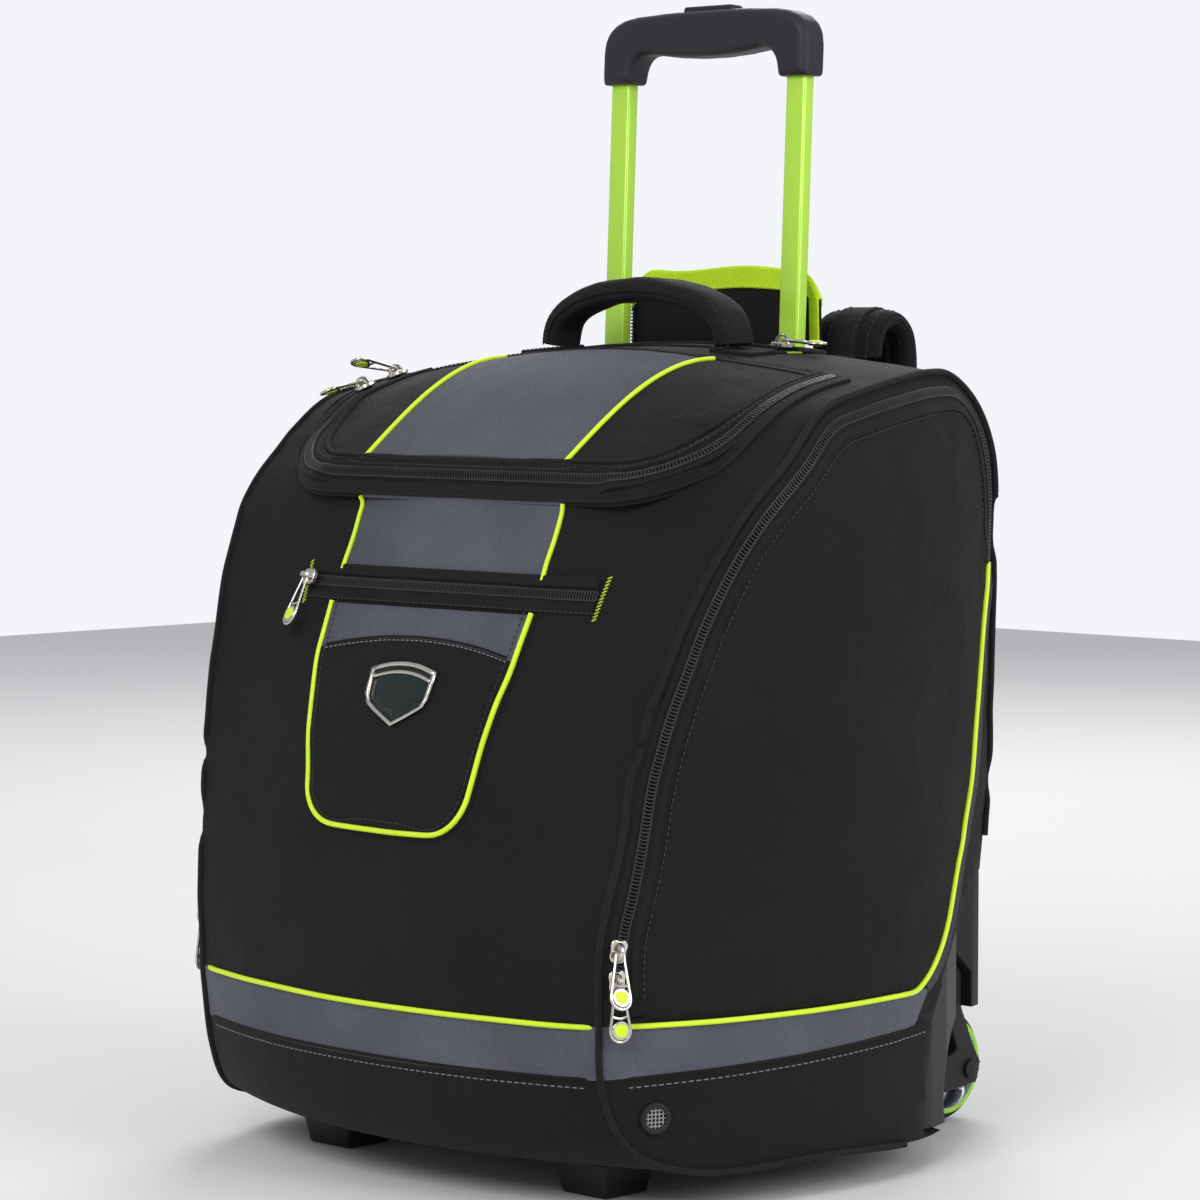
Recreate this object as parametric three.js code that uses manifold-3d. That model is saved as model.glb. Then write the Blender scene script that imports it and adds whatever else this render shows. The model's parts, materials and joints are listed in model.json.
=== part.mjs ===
// A wheeled skate bag: a soft box that leans back and flares upwards, with a zipped lid, two zipped side doors
// for the skates, a front pocket, a telescopic tow handle, shoulder straps and two wheels at the rear corners.
//
// Millimetres. +Z is up, +X is the bag's own left-to-right as seen from the front, and the front faces -Y.
// The origin is on the ground, under the middle of the bag's box. Places below are counted from the cloth body's
// own datum, and the whole bag is moved from it at the end: up by LIFT, and forwards to centre its depth.

import * as THREE from "three";
import { mergeVertices } from "three/addons/utils/BufferGeometryUtils.js";
import Module from "manifold-3d";

const wasm = await Module();
wasm.setup();

// ---------------------------------------------------------------- driving dimensions

const WALL = 3.5; // fabric, foam and lining of the body
const GAP = 0.8; // clearance between sewn pieces that part when a zip opens
const CHAIN_WIDTH = 5; // both rows of zip teeth
const LIFT = 12; // the body's datum above the ground
const BASE_HEIGHT = 14; // underside of the bag
const BAND_TOP = 108; // seam over the grey band, where the side doors hinge
const LID = {
  hinge: 50,
  halfWidth: 194,
  corner: 66,
  flank: -40,
  front: -97,
  frontRim: 436,
  rise: 0.51,
  fade: 0.00092,
  crown: 27,
};
const LID_MIDDLE = { front: 452, rise: 67, run: 135 };
const LID_SKIRT = 14; // how far the lid's box reaches below its zip
const LEAN = 2.5; // degrees that the tow handle leans back
const LEAN_PIVOT = { y: 132, z: 520 };
const TUBE = { x: 81, y: 132, width: 17, depth: 10, radius: 2, wall: 1.1, length: 460 };
const OUTER_TUBE = { width: 21.4, depth: 14.4, wall: 1.3, bottom: 40, top: 514 };
const GRIP = { bottom: 700, top: 748, halfWidth: 94, barHeight: 30, depth: 24, socketDepth: 24 };
const BUTTON = { length: 45, depth: 12, height: 11, proud: 3, travel: 3 };
const WHEEL = { x: 110, y: 246, z: 28, radius: 40, tyreWidth: 24, hubRadius: 32, boreRadius: 11, faceX: 130 };
const AXLE_RADIUS = 4;
const WELL_RADIUS = 44;
const HOUSING = { inner: 94, outer: 144, wall: 3 };
const POCKET_ZIP = { z: 367, left: -122, right: 140 };
const DIVIDER_X = 92;
const STRAP = { x: 85, width: 58, thickness: 12 };
const SIDE_BULGE = 3; // how far a full side stands out past its seam
const SEAM_ALLOWANCE = 9; // from the welt to a side door's zip
const ROUND = 28; // facets on a full circle

// ---------------------------------------------------------------- materials

const paint = (color, roughness, metalness = 0) =>
  new THREE.MeshStandardMaterial({ color, roughness, metalness });
const MATERIAL = {
  blackFabric: paint(0x1a1a1c, 0.9),
  greyFabric: paint(0x4c4e5c, 0.85),
  limePaint: paint(0x9fe03a, 0.3, 0.3),
  blackPlastic: paint(0x1e1f22, 0.45),
  gripRubber: paint(0x26282e, 0.6),
  zipPlastic: paint(0x17171a, 0.35),
  board: paint(0x303236, 0.7),
  metal: paint(0xb9b4a8, 0.3, 0.9),
  steel: paint(0x8d8f94, 0.35, 0.9),
  hub: paint(0xc3c6cc, 0.3, 0.7),
  tyre: paint(0x121214, 0.8),
};

// ---------------------------------------------------------------- solids and cuts

// A closed geometry as a manifold-3d solid.
function solid(geometry) {
  const bare = geometry.clone();
  bare.deleteAttribute("normal");
  bare.deleteAttribute("uv");
  const merged = mergeVertices(bare, 1e-4);
  return new wasm.Manifold(
    new wasm.Mesh({
      numProp: 3,
      vertProperties: new Float32Array(merged.attributes.position.array),
      triVerts: new Uint32Array(merged.index.array),
    }),
  );
}

function geometryOf(body) {
  const mesh = body.getMesh();
  const geometry = new THREE.BufferGeometry();
  geometry.setAttribute("position", new THREE.BufferAttribute(mesh.vertProperties, 3));
  geometry.setIndex(new THREE.BufferAttribute(mesh.triVerts, 1));
  geometry.computeVertexNormals();
  return geometry;
}

const union = (first, ...rest) => rest.reduce((sum, next) => sum.add(next), first);
const cut = (first, ...rest) => rest.reduce((left, next) => left.subtract(next), first);

// A box between two corners.
function box(x0, x1, y0, y1, z0, z1) {
  const middle = [(x0 + x1) / 2, (y0 + y1) / 2, (z0 + z1) / 2];
  return new THREE.BoxGeometry(x1 - x0, y1 - y0, z1 - z0).translate(...middle);
}

// A closed cylinder along X between two planes.
function coneX(radius0, radius1, x0, x1, y, z, segments = ROUND) {
  return new THREE.CylinderGeometry(radius0, radius1, x1 - x0, segments)
    .rotateZ(Math.PI / 2)
    .translate((x0 + x1) / 2, y, z);
}

const rodX = (radius, x0, x1, y, z, segments) => coneX(radius, radius, x0, x1, y, z, segments);

// A shape's points are (Y, Z) and it is extruded along X from x0 to x1.
function plateX(shape, x0, x1) {
  return new THREE.ExtrudeGeometry(shape, { depth: x1 - x0, bevelEnabled: false, curveSegments: 8 })
    .rotateX(Math.PI / 2)
    .rotateZ(Math.PI / 2)
    .translate(x0, 0, 0);
}

// A shape's points are (X, Z) and it is extruded along Y from y0 to y1.
function plateY(shape, y0, y1, bevel = 0) {
  return new THREE.ExtrudeGeometry(shape, {
    depth: y1 - y0 - 2 * bevel,
    bevelEnabled: bevel > 0,
    bevelThickness: bevel,
    bevelSize: bevel,
    bevelOffset: -bevel,
    bevelSegments: 1,
    curveSegments: 5,
  })
    .rotateX(Math.PI / 2)
    .translate(0, y1 - bevel, 0);
}

// A shape's points are (X, Y) and it is extruded along Z from z0 to z1.
function plateZ(shape, z0, z1) {
  const settings = { depth: z1 - z0, bevelEnabled: false, curveSegments: 3 };
  return new THREE.ExtrudeGeometry(shape, settings).translate(0, 0, z0);
}

const polygon = (points) => new THREE.Shape(points.map(([a, b]) => new THREE.Vector2(a, b)));

function roundedRectangle(halfWidth, halfHeight, radius, cx = 0, cy = 0) {
  const shape = new THREE.Shape();
  shape.absarc(cx + halfWidth - radius, cy + halfHeight - radius, radius, 0, Math.PI / 2);
  shape.absarc(cx - halfWidth + radius, cy + halfHeight - radius, radius, Math.PI / 2, Math.PI);
  shape.absarc(cx - halfWidth + radius, cy - halfHeight + radius, radius, Math.PI, 1.5 * Math.PI);
  shape.absarc(cx + halfWidth - radius, cy - halfHeight + radius, radius, 1.5 * Math.PI, 2 * Math.PI);
  return shape;
}

// A closed outline moved sideways by distance, to the left of its direction of travel, with mitred corners.
function shifted(points, distance) {
  const normal = ([a0, b0], [a1, b1]) => {
    const length = Math.hypot(a1 - a0, b1 - b0);
    return [(b0 - b1) / length, (a1 - a0) / length];
  };
  const n = points.length;
  return points.map((point, i) => {
    const [u0, v0] = normal(points[(i + n - 1) % n], point);
    const [u1, v1] = normal(point, points[(i + 1) % n]);
    const scale = distance / (1 + u0 * u1 + v0 * v1);
    return [point[0] + scale * (u0 + u1), point[1] + scale * (v0 + v1)];
  });
}

// ---------------------------------------------------------------- the soft body

// The body is one wrap (front, top, back, underside) closed by two domed sides. Each row gives the wrap's
// outline in the bag's middle plane, and at the welt where it meets a side. Points are (Y, Z), from the front's
// foot upwards.
const OUTLINE = [
  { middle: [-156, BASE_HEIGHT + 1], welt: [-102, BASE_HEIGHT + 1] },
  { middle: [-180, 30], welt: [-137, 31] },
  { middle: [-189, 62], welt: [-154, 68] },
  { middle: [-190, 108], welt: [-157, BAND_TOP] },
  { middle: [-180, 165], welt: [-158, 160] },
  { middle: [-163, 232], welt: [-148, 215] },
  { middle: [-147, 300], welt: [-138, 274] },
  { middle: [-121, 360], welt: [-112, 358] },
  { middle: [-99, 420], welt: [-76, 420] },
  { middle: [-91, 448], welt: [-44, 450] },
  { middle: [-62, 474], welt: [-6, 482] },
  { middle: [-10, 503], welt: [30, 492] },
  { middle: [40, 517], welt: [70, 499] },
  { middle: [100, 520], welt: [120, 504] },
  { middle: [150, 517], welt: [155, 501] },
  { middle: [182, 500], welt: [181, 480] },
  { middle: [194, 465], welt: [189, 440] },
  { middle: [198, 380], welt: [190, 380] },
  { middle: [199, 240], welt: [190, 240] },
  { middle: [196, 110], welt: [184, 100] },
  { middle: [190, 45], welt: [176, 45] },
  { middle: [168, BASE_HEIGHT], welt: [152, BASE_HEIGHT + 1] },
  { middle: [0, BASE_HEIGHT], welt: [0, BASE_HEIGHT] },
];
const OUTLINE_STEPS = 36;
const WRAP_STEPS = 10; // across the bag
const SIDE_RINGS = 3;
const WRAP_POWER = 2; // how late the wrap turns towards the welt

// The welt's distance from the middle plane: barrel-shaped in plan, wider upwards, drawn in over the top.
function weltX(y, z) {
  const barrel = 0.0014 * (y - 30) ** 2;
  const shoulder = 0.0032 * Math.max(z - 410, 0) ** 2;
  return 235 + 0.04 * (z - 200) - barrel - shoulder;
}

function sampled(key) {
  const curve = new THREE.CatmullRomCurve3(
    OUTLINE.map((row) => new THREE.Vector3(row[key][0], row[key][1], 0)),
    true,
    "centripetal",
  );
  return Array.from({ length: OUTLINE_STEPS }, (_, i) => {
    const p = curve.getPoint(i / OUTLINE_STEPS);
    return [p.x, p.y];
  });
}
const MIDDLE = sampled("middle");
const WELT = sampled("welt");

// The whole body as one closed solid, grown outwards by offset (negative shrinks it).
function bodySolid(offset) {
  const middle = shifted(MIDDLE, offset);
  const welt = shifted(WELT, offset);
  const centre = [10, 250];
  const vertices = [];
  const triangles = [];
  const ring = (points) => {
    const start = vertices.length / 3;
    points.forEach((p) => vertices.push(...p));
    return start;
  };
  const rings = [];
  const sideRing = (sign, share) =>
    ring(
      welt.map(([y, z]) => {
        const py = centre[0] + share * (y - centre[0]);
        const pz = centre[1] + share * (z - centre[1]);
        return [sign * (weltX(py, pz) + offset + SIDE_BULGE * (1 - share ** 3)), py, pz];
      }),
    );
  const wrapRing = (u) =>
    ring(
      welt.map(([wy, wz], i) => {
        const f = Math.abs(u) ** WRAP_POWER;
        const x = u * (weltX(wy, wz) + offset);
        return [x, middle[i][0] + f * (wy - middle[i][0]), middle[i][1] + f * (wz - middle[i][1])];
      }),
    );
  for (let k = 1; k <= SIDE_RINGS; k++) rings.push(sideRing(-1, k / SIDE_RINGS));
  for (let j = 1; j < WRAP_STEPS; j++) rings.push(wrapRing((2 * j) / WRAP_STEPS - 1));
  for (let k = SIDE_RINGS; k >= 1; k--) rings.push(sideRing(1, k / SIDE_RINGS));
  const n = OUTLINE_STEPS;
  rings.slice(1).forEach((b, r) => {
    const a = rings[r];
    for (let i = 0; i < n; i++) {
      const next = (i + 1) % n;
      if (r < rings.length / 2 - 1) triangles.push(a + i, b + i, b + next, a + i, b + next, a + next);
      else triangles.push(a + i, b + i, a + next, b + i, b + next, a + next);
    }
  });
  const pole = (sign, start, flip) => {
    const x = sign * (weltX(...centre) + offset + SIDE_BULGE);
    const tip = ring([[x, ...centre]]);
    for (let i = 0; i < n; i++) {
      const next = (i + 1) % n;
      triangles.push(tip, start + (flip ? next : i), start + (flip ? i : next));
    }
  };
  pole(-1, rings[0], false);
  pole(1, rings[rings.length - 1], true);
  const body = new wasm.Manifold(
    new wasm.Mesh({ numProp: 3, vertProperties: new Float32Array(vertices), triVerts: new Uint32Array(triangles) }),
  );
  if (body.volume() < 0) throw new Error("the body is inside out");
  return body;
}

// ---------------------------------------------------------------- shell, lid, doors and zip chains

// The lid's zip climbs towards the back along this curve.
const rimHeight = (y) => LID.frontRim + LID.rise * (y - LID.front) - LID.fade * (y - LID.front) ** 2;

// The lid's plan, drawn in by inset: rounded front corners, long sides, and open at the back.
function lidPlan(inset, rear) {
  const half = LID.halfWidth - inset;
  const front = LID.front + inset;
  const shape = new THREE.Shape();
  shape.moveTo(-half, rear);
  shape.lineTo(-half, LID.front + LID.corner);
  shape.absarc(-LID.halfWidth + LID.corner, LID.front + LID.corner, LID.corner - inset, Math.PI, 1.5 * Math.PI);
  shape.lineTo(LID.halfWidth - LID.corner, front);
  shape.absarc(LID.halfWidth - LID.corner, LID.front + LID.corner, LID.corner - inset, 1.5 * Math.PI, 2 * Math.PI);
  shape.lineTo(half, rear);
  return shape;
}

function lidTop(x, y) {
  const along = THREE.MathUtils.clamp((y - LID.front) / LID_MIDDLE.run, 0, 1);
  const middle = LID_MIDDLE.front + LID_MIDDLE.rise * Math.sin((along * Math.PI) / 2);
  return middle - LID.crown * (x / LID.halfWidth) ** 2;
}

// A slab over the lid's area whose underside and top follow two height functions of (x, y).
function slab(low, high) {
  const depth = LID.hinge - LID.front + 30;
  const middleY = (LID.hinge + LID.front) / 2;
  const geometry = new THREE.BoxGeometry(2 * LID.halfWidth + 20, depth, 2, 12, 9, 1).translate(0, middleY, 0);
  const position = geometry.attributes.position;
  for (let i = 0; i < position.count; i++) {
    const height = position.getZ(i) > 0 ? high : low;
    position.setZ(i, height(position.getX(i), position.getY(i)));
  }
  return solid(geometry);
}

// The lid's box stands out from the body like the peak of a cap.
function lidBox(inset) {
  const heights = slab(
    (x, y) => rimHeight(y) - LID_SKIRT + Math.min(inset, 1),
    (x, y) => lidTop(x, y) - inset,
  );
  return heights.intersect(solid(plateZ(lidPlan(inset, LID.hinge + 10 - inset), 300, 600)));
}

const layer = (inner, outer) => cut(bodySolid(outer), bodySolid(inner));
const skin = cut(bodySolid(0).add(lidBox(0)), bodySolid(-WALL).add(lidBox(WALL)));

// Everything above the rim and inside the lid's plan, drawn in by inset, as far back as rear.
function lidRegion(inset, rear) {
  const curve = Array.from({ length: 15 }, (_, i) => -200 + (i * (rear + 200)) / 14);
  const points = [...curve.map((y) => [y, rimHeight(y) + inset]), [rear, 600], [-200, 600]];
  const half = LID.halfWidth - inset;
  const flanks = union(
    solid(box(-half, half, LID.flank, rear + 1, 300, 600)),
    solid(box(-300, 300, -300, LID.flank, 300, 600)),
  );
  return solid(plateX(polygon(points), -300, 300))
    .intersect(solid(plateZ(lidPlan(-1, rear), 300, 600)))
    .intersect(flanks);
}

const LID_INSET = 2 * GAP + CHAIN_WIDTH;
const lidSolid = skin.intersect(lidRegion(LID_INSET, LID.hinge - GAP));
const lidChain = skin.intersect(
  cut(lidRegion(GAP, LID.hinge - GAP), lidRegion(GAP + CHAIN_WIDTH, LID.hinge + 10)),
);

// The lower rear seam that a side door is sewn along, (Y, Z), from the back down to the band.
const DOOR_SEAM = [
  [176, 380],
  [154, 240],
  [136, 170],
  [118, 127],
  [92, BAND_TOP + 2],
];
const DOOR_INNER_X = 165;

// A side door's edge: inside the welt from the band up the front and over the top, then down the seam.
const DOOR_PATH = [
  ...shifted(WELT, -SEAM_ALLOWANCE)
    .slice(0, OUTLINE_STEPS * 0.8)
    .filter(([y, z]) => z > BAND_TOP + 6 && (y < 0 || z > 400)),
  ...DOOR_SEAM,
];

function doorPrism(sign, inset) {
  const [firstY] = DOOR_PATH[0];
  const corner = [firstY, BAND_TOP + 2];
  const points = shifted([...DOOR_PATH, corner], -inset);
  const [x0, x1] = sign > 0 ? [DOOR_INNER_X, 300] : [-300, -DOOR_INNER_X];
  return solid(plateX(polygon(points), x0, x1));
}

// The chain follows the part of the edge that unzips, up the front and over the top.
function doorChain(sign) {
  const ring = cut(doorPrism(sign, GAP), doorPrism(sign, GAP + CHAIN_WIDTH));
  const front = solid(box(-300, 300, -200, 0, BAND_TOP + 14, 520));
  const top = solid(box(-300, 300, -1, 240, 430, 520));
  return skin.intersect(ring).intersect(front.add(top));
}

// A door leaves room for the chain where it unzips, and only a seam's width below and behind.
function doorRegion(sign) {
  const sewn = solid(box(-300, 300, -120, 220, 0, 150)).add(solid(box(-300, 300, 60, 220, 0, 425)));
  return doorPrism(sign, 2 * GAP + CHAIN_WIDTH).add(doorPrism(sign, GAP).intersect(sewn));
}

const wheelWell = (sign) => {
  const [x0, x1] = sign > 0 ? [HOUSING.inner - GAP, 300] : [-300, -HOUSING.inner + GAP];
  return solid(plateX(housingOutline(GAP), x0, x1));
};

// Anything that belongs to the tow handle is drawn upright and then leant back.
function leant(geometry) {
  return geometry
    .translate(0, -LEAN_PIVOT.y, -LEAN_PIVOT.z)
    .rotateX(THREE.MathUtils.degToRad(-LEAN))
    .translate(0, LEAN_PIVOT.y, LEAN_PIVOT.z);
}

// ---------------------------------------------------------------- wheel housings

// The housing's side outline, (Y, Z): a fender whose front edge sweeps up into a fin behind the door.
function housingOutline(grow) {
  const points = [
    [109, 11],
    [107, 50],
    [111, 84],
    [124, 112],
    [146, 142],
    [166, 166],
    [186, 176],
    [206, 160],
    [222, 110],
    [262, 76],
    [262, 11],
  ];
  return polygon(shifted(points, grow));
}

// The housing's plan: flush with the bag's side in front, then rounding the rear corner to the wheel.
function housingPlan(inset) {
  const points = [
    [HOUSING.inner - 10, 95],
    [215, 95],
    [211, 125],
    [203, 150],
    [186, 180],
    [160, 206],
    [HOUSING.outer, 224],
    [HOUSING.outer, 270],
    [HOUSING.inner - 10, 270],
  ];
  return solid(plateZ(polygon(shifted(points, inset)), -LIFT, 220));
}

const EYELET = { y: -122, z: 50, radius: 9 };
const eyeletHole = solid(rodX(EYELET.radius + GAP, -300, 300, EYELET.y, EYELET.z));
const tubeHole = (sign) => {
  const hole = roundedRectangle(OUTER_TUBE.width / 2 + 1, OUTER_TUBE.depth / 2 + 1, 2, sign * TUBE.x, TUBE.y);
  return solid(leant(plateZ(hole, 480, 560)));
};
const shellSolid = cut(
  skin,
  doorPrism(1, 0),
  doorPrism(-1, 0),
  lidRegion(0, LID.hinge),
  wheelWell(1),
  wheelWell(-1),
  eyeletHole,
  tubeHole(1),
  tubeHole(-1),
);

// The room round a wheel. Its opening flares towards the bag's side, so the wheel shows from in front.
function wheelSpace(grow) {
  const x0 = HOUSING.inner + HOUSING.wall;
  const flare = 80;
  const mouth = WELL_RADIUS - 4 + grow * Math.SQRT2;
  return union(
    solid(rodX(WELL_RADIUS + grow, x0, 300, WHEEL.y, WHEEL.z)),
    solid(coneX(mouth, mouth + flare, HOUSING.outer, HOUSING.outer + flare, WHEEL.y, WHEEL.z, 2 * ROUND)),
    solid(box(x0, 300, WHEEL.y - WELL_RADIUS - grow, 320, -LIFT, WHEEL.z)),
  );
}

const ROOF_END = 238; // where a housing's roof stops, above the wheel

// A thin-walled fender round the front and top of the wheel, with an arm that carries the axle's outer end.
function housing(sign) {
  const { inner: x0, outer: x1, wall } = HOUSING;
  const block = solid(plateX(housingOutline(0), x0, 260)).intersect(housingPlan(0));
  const hollow = cut(
    solid(plateX(housingOutline(-wall), x0 - 10, 260)).intersect(housingPlan(wall)),
    wheelSpace(wall),
    solid(box(0, 300, 202, 300, 0, 300)),
  );
  const behindRoof = solid(box(x0 + wall, 300, ROOF_END, 300, WHEEL.z, 300));
  const arm = polygon([
    [196, 12],
    [238, 16],
    [254, 18],
    [258, 32],
    [250, 44],
    [232, 84],
    [216, 84],
    [233, 42],
    [196, 32],
  ]);
  const bracket = solid(plateX(arm, WHEEL.faceX + 5, x1));
  const boss = solid(rodX(9, WHEEL.faceX + 3, x1, WHEEL.y, WHEEL.z));
  const bore = solid(rodX(AXLE_RADIUS + 0.3, x0 - 5, x1 - wall, WHEEL.y, WHEEL.z));
  const fender = cut(block, hollow, wheelSpace(0), behindRoof);
  return mirrored(cut(union(fender, bracket, boss), bore), sign);
}

function mirrored(body, sign) {
  if (sign > 0) return geometryOf(body);
  const geometry = geometryOf(body).toNonIndexed();
  geometry.scale(-1, 1, 1);
  const position = geometry.attributes.position;
  for (let i = 0; i < position.count; i += 3) {
    const a = new THREE.Vector3().fromBufferAttribute(position, i + 1);
    const b = new THREE.Vector3().fromBufferAttribute(position, i + 2);
    position.setXYZ(i + 1, b.x, b.y, b.z);
    position.setXYZ(i + 2, a.x, a.y, a.z);
  }
  geometry.computeVertexNormals();
  return geometry;
}

// A moulded rail behind each wheel, for kerbs and stairs.
function skidRail(sign) {
  const plan = new THREE.Shape();
  plan.moveTo(112, 203);
  plan.lineTo(150, 203);
  plan.lineTo(151, 240);
  plan.absarc(133, 240, 18, 0, Math.PI);
  plan.lineTo(112, 226);
  const block = solid(plateZ(plan, 72, 198));
  const well = solid(rodX(WELL_RADIUS, 80, 300, WHEEL.y, WHEEL.z));
  const clear = solid(plateX(housingOutline(GAP), 80, 300)).intersect(solid(box(80, 300, 0, ROOF_END + GAP, 0, 300)));
  return mirrored(cut(block, well, clear), sign);
}

// ---------------------------------------------------------------- wheels

// A ring round the wheel's axis: profile points are (radius, x from the wheel's middle).
function wheelRing(profile) {
  const points = profile.map(([r, x]) => new THREE.Vector2(r, x));
  points.push(points[0].clone());
  return new THREE.LatheGeometry(points, ROUND).rotateZ(-Math.PI / 2);
}

function tyre() {
  const half = WHEEL.tyreWidth / 2;
  return wheelRing([
    [WHEEL.hubRadius + 0.3, -half],
    [WHEEL.radius - 4, -half],
    [WHEEL.radius, -half + 5],
    [WHEEL.radius, half - 5],
    [WHEEL.radius - 4, half],
    [WHEEL.hubRadius + 0.3, half],
  ]);
}

function hub() {
  const half = WHEEL.tyreWidth / 2;
  const face = WHEEL.faceX - WHEEL.x;
  return wheelRing([
    [WHEEL.boreRadius + 0.3, -half + 2],
    [WHEEL.hubRadius, -half + 2],
    [WHEEL.hubRadius, half + 3],
    [WHEEL.hubRadius - 3, half + 4],
    [WHEEL.hubRadius - 8, half - 4],
    [WHEEL.boreRadius + 3, half - 4],
    [WHEEL.boreRadius + 2, face - 4],
    [WHEEL.boreRadius + 0.3, face - 4],
  ]);
}

function bearing() {
  const half = 8;
  return wheelRing([
    [AXLE_RADIUS + 0.06, -half],
    [WHEEL.boreRadius, -half],
    [WHEEL.boreRadius, half],
    [AXLE_RADIUS + 0.06, half],
  ]);
}

// ---------------------------------------------------------------- tow handle

function tube(x, width, depth, radius, wall, bottom, top) {
  const section = roundedRectangle(width / 2, depth / 2, radius, x, TUBE.y);
  section.holes.push(roundedRectangle(width / 2 - wall, depth / 2 - wall, Math.max(radius - wall, 0.5), x, TUBE.y));
  const extruded = new THREE.ExtrudeGeometry(section, {
    depth: top - bottom,
    bevelEnabled: false,
    curveSegments: 2,
  });
  return leant(extruded.translate(0, 0, bottom));
}

// The grip's front outline, (X, Z): a deep bar with two sleeves, its underside bowed down for the hand.
function grip() {
  const { bottom, top, halfWidth: half, barHeight } = GRIP;
  const inner = half - 26;
  const shape = new THREE.Shape();
  shape.moveTo(-half, bottom);
  shape.lineTo(-half, top - 26);
  shape.quadraticCurveTo(-half, top - 4, -half + 30, top - 2);
  shape.quadraticCurveTo(0, top + 2, half - 30, top - 2);
  shape.quadraticCurveTo(half, top - 4, half, top - 26);
  shape.lineTo(half, bottom);
  shape.lineTo(inner, bottom);
  shape.quadraticCurveTo(inner, top - barHeight + 2, inner - 16, top - barHeight + 2);
  shape.quadraticCurveTo(0, top - barHeight - 6, -inner + 16, top - barHeight + 2);
  shape.quadraticCurveTo(-inner, top - barHeight + 2, -inner, bottom);
  const bar = solid(plateY(shape, TUBE.y - GRIP.depth / 2, TUBE.y + GRIP.depth / 2, 4));
  const sockets = [-1, 1].map((s) =>
    solid(
      plateZ(
        roundedRectangle(TUBE.width / 2 + 0.3, TUBE.depth / 2 + 0.3, TUBE.radius, s * TUBE.x, TUBE.y),
        bottom - 5,
        bottom + GRIP.socketDepth + 0.3,
      ),
    ),
  );
  const slot = solid(
    box(
      -BUTTON.length / 2 - 0.4,
      BUTTON.length / 2 + 0.4,
      TUBE.y - BUTTON.depth / 2 - 0.4,
      TUBE.y + BUTTON.depth / 2 + 0.4,
      top + BUTTON.proud - BUTTON.height - BUTTON.travel - 1,
      top + 20,
    ),
  );
  return leant(geometryOf(cut(bar, ...sockets, slot)));
}

function releaseButton() {
  const top = GRIP.top + BUTTON.proud;
  const shape = roundedRectangle(BUTTON.length / 2, BUTTON.height / 2, 2.5, 0, top - BUTTON.height / 2);
  return leant(plateY(shape, TUBE.y - BUTTON.depth / 2, TUBE.y + BUTTON.depth / 2, 1));
}

// The plate on top of the bag that the tubes come out of.
function bezel() {
  const plate = layer(0.6, 4).intersect(solid(plateZ(roundedRectangle(104, 14, 7, 0, TUBE.y), 480, 560)));
  const holes = [-1, 1].map((s) => {
    const hole = roundedRectangle(TUBE.width / 2 + 0.6, TUBE.depth / 2 + 0.6, TUBE.radius, s * TUBE.x, TUBE.y);
    return solid(leant(plateZ(hole, 480, 560)));
  });
  return geometryOf(cut(plate, ...holes));
}

// ---------------------------------------------------------------- soft handles, straps and flap

// A flat band swept along a curve: the shape's first axis lies across the band.
function band(points, width, thickness, steps, radius = 3) {
  const path = new THREE.CatmullRomCurve3(points.map(([x, y, z]) => new THREE.Vector3(x, y, z)));
  const section = roundedRectangle(width / 2, thickness / 2, Math.min(radius, thickness / 2 - 0.1));
  return new THREE.ExtrudeGeometry(section, { steps, extrudePath: path, bevelEnabled: false, curveSegments: 2 });
}

const GRAB = { y: 76, foot: 525, halfSpan: 80, rise: 35, width: 28, thickness: 15 };
function grabHandle() {
  const arch = Array.from({ length: 9 }, (_, i) => {
    const angle = Math.PI * (1 - i / 8);
    return [GRAB.halfSpan * Math.cos(angle), GRAB.y, GRAB.foot + GRAB.rise * Math.sin(angle) ** 0.8];
  });
  return band(arch, GRAB.width, GRAB.thickness, 14, 5);
}

function shoulderStrap(sign) {
  const x = sign * STRAP.x;
  const path = [
    [x, 183, 516],
    [x, 187, 532],
    [x, 203, 539],
    [x, 218, 524],
    [x, 219, 480],
    [x + sign * 4, 215, 400],
    [x + sign * 10, 212, 310],
    [x + sign * 14, 211, 236],
  ];
  return band(path, STRAP.width, STRAP.thickness, 14, 4);
}

function strapWebbing(sign) {
  const x = sign * (STRAP.x + 14);
  return box(x - 12.5, x + 12.5, 209, 211.4, 196, 232);
}

// The flap that closes over the stowed grip: here it stands open behind the tubes.
const FLAP = { y: 153, thickness: 3, halfWidth: 87, bottom: 523, top: 572 };
function garageFlap() {
  const shape = new THREE.Shape();
  const { halfWidth: half, bottom, top } = FLAP;
  shape.moveTo(-half, bottom);
  shape.lineTo(half, bottom);
  shape.lineTo(half, top - 18);
  shape.quadraticCurveTo(half, top, half - 20, top);
  shape.lineTo(-half + 20, top - 4);
  shape.quadraticCurveTo(-half, top - 4, -half, top - 22);
  return plateY(shape, FLAP.y, FLAP.y + FLAP.thickness);
}

// ---------------------------------------------------------------- front pocket and badge

const frontPrism = (shape) => solid(plateY(shape, -300, -40));

// A tapering tongue, wider at the top, with a rounded foot.
function pocketOutline() {
  const shape = new THREE.Shape();
  shape.moveTo(-92, 352);
  shape.lineTo(-76, 240);
  shape.quadraticCurveTo(-72, 217, -46, 217);
  shape.lineTo(46, 217);
  shape.quadraticCurveTo(72, 217, 76, 240);
  shape.lineTo(92, 352);
  return shape;
}

function badgeOutline() {
  const shape = new THREE.Shape();
  shape.moveTo(-30, 316);
  shape.quadraticCurveTo(0, 326, 30, 316);
  shape.lineTo(28, 298);
  shape.quadraticCurveTo(24, 288, 0, 280);
  shape.quadraticCurveTo(-24, 288, -28, 298);
  return shape;
}

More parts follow.
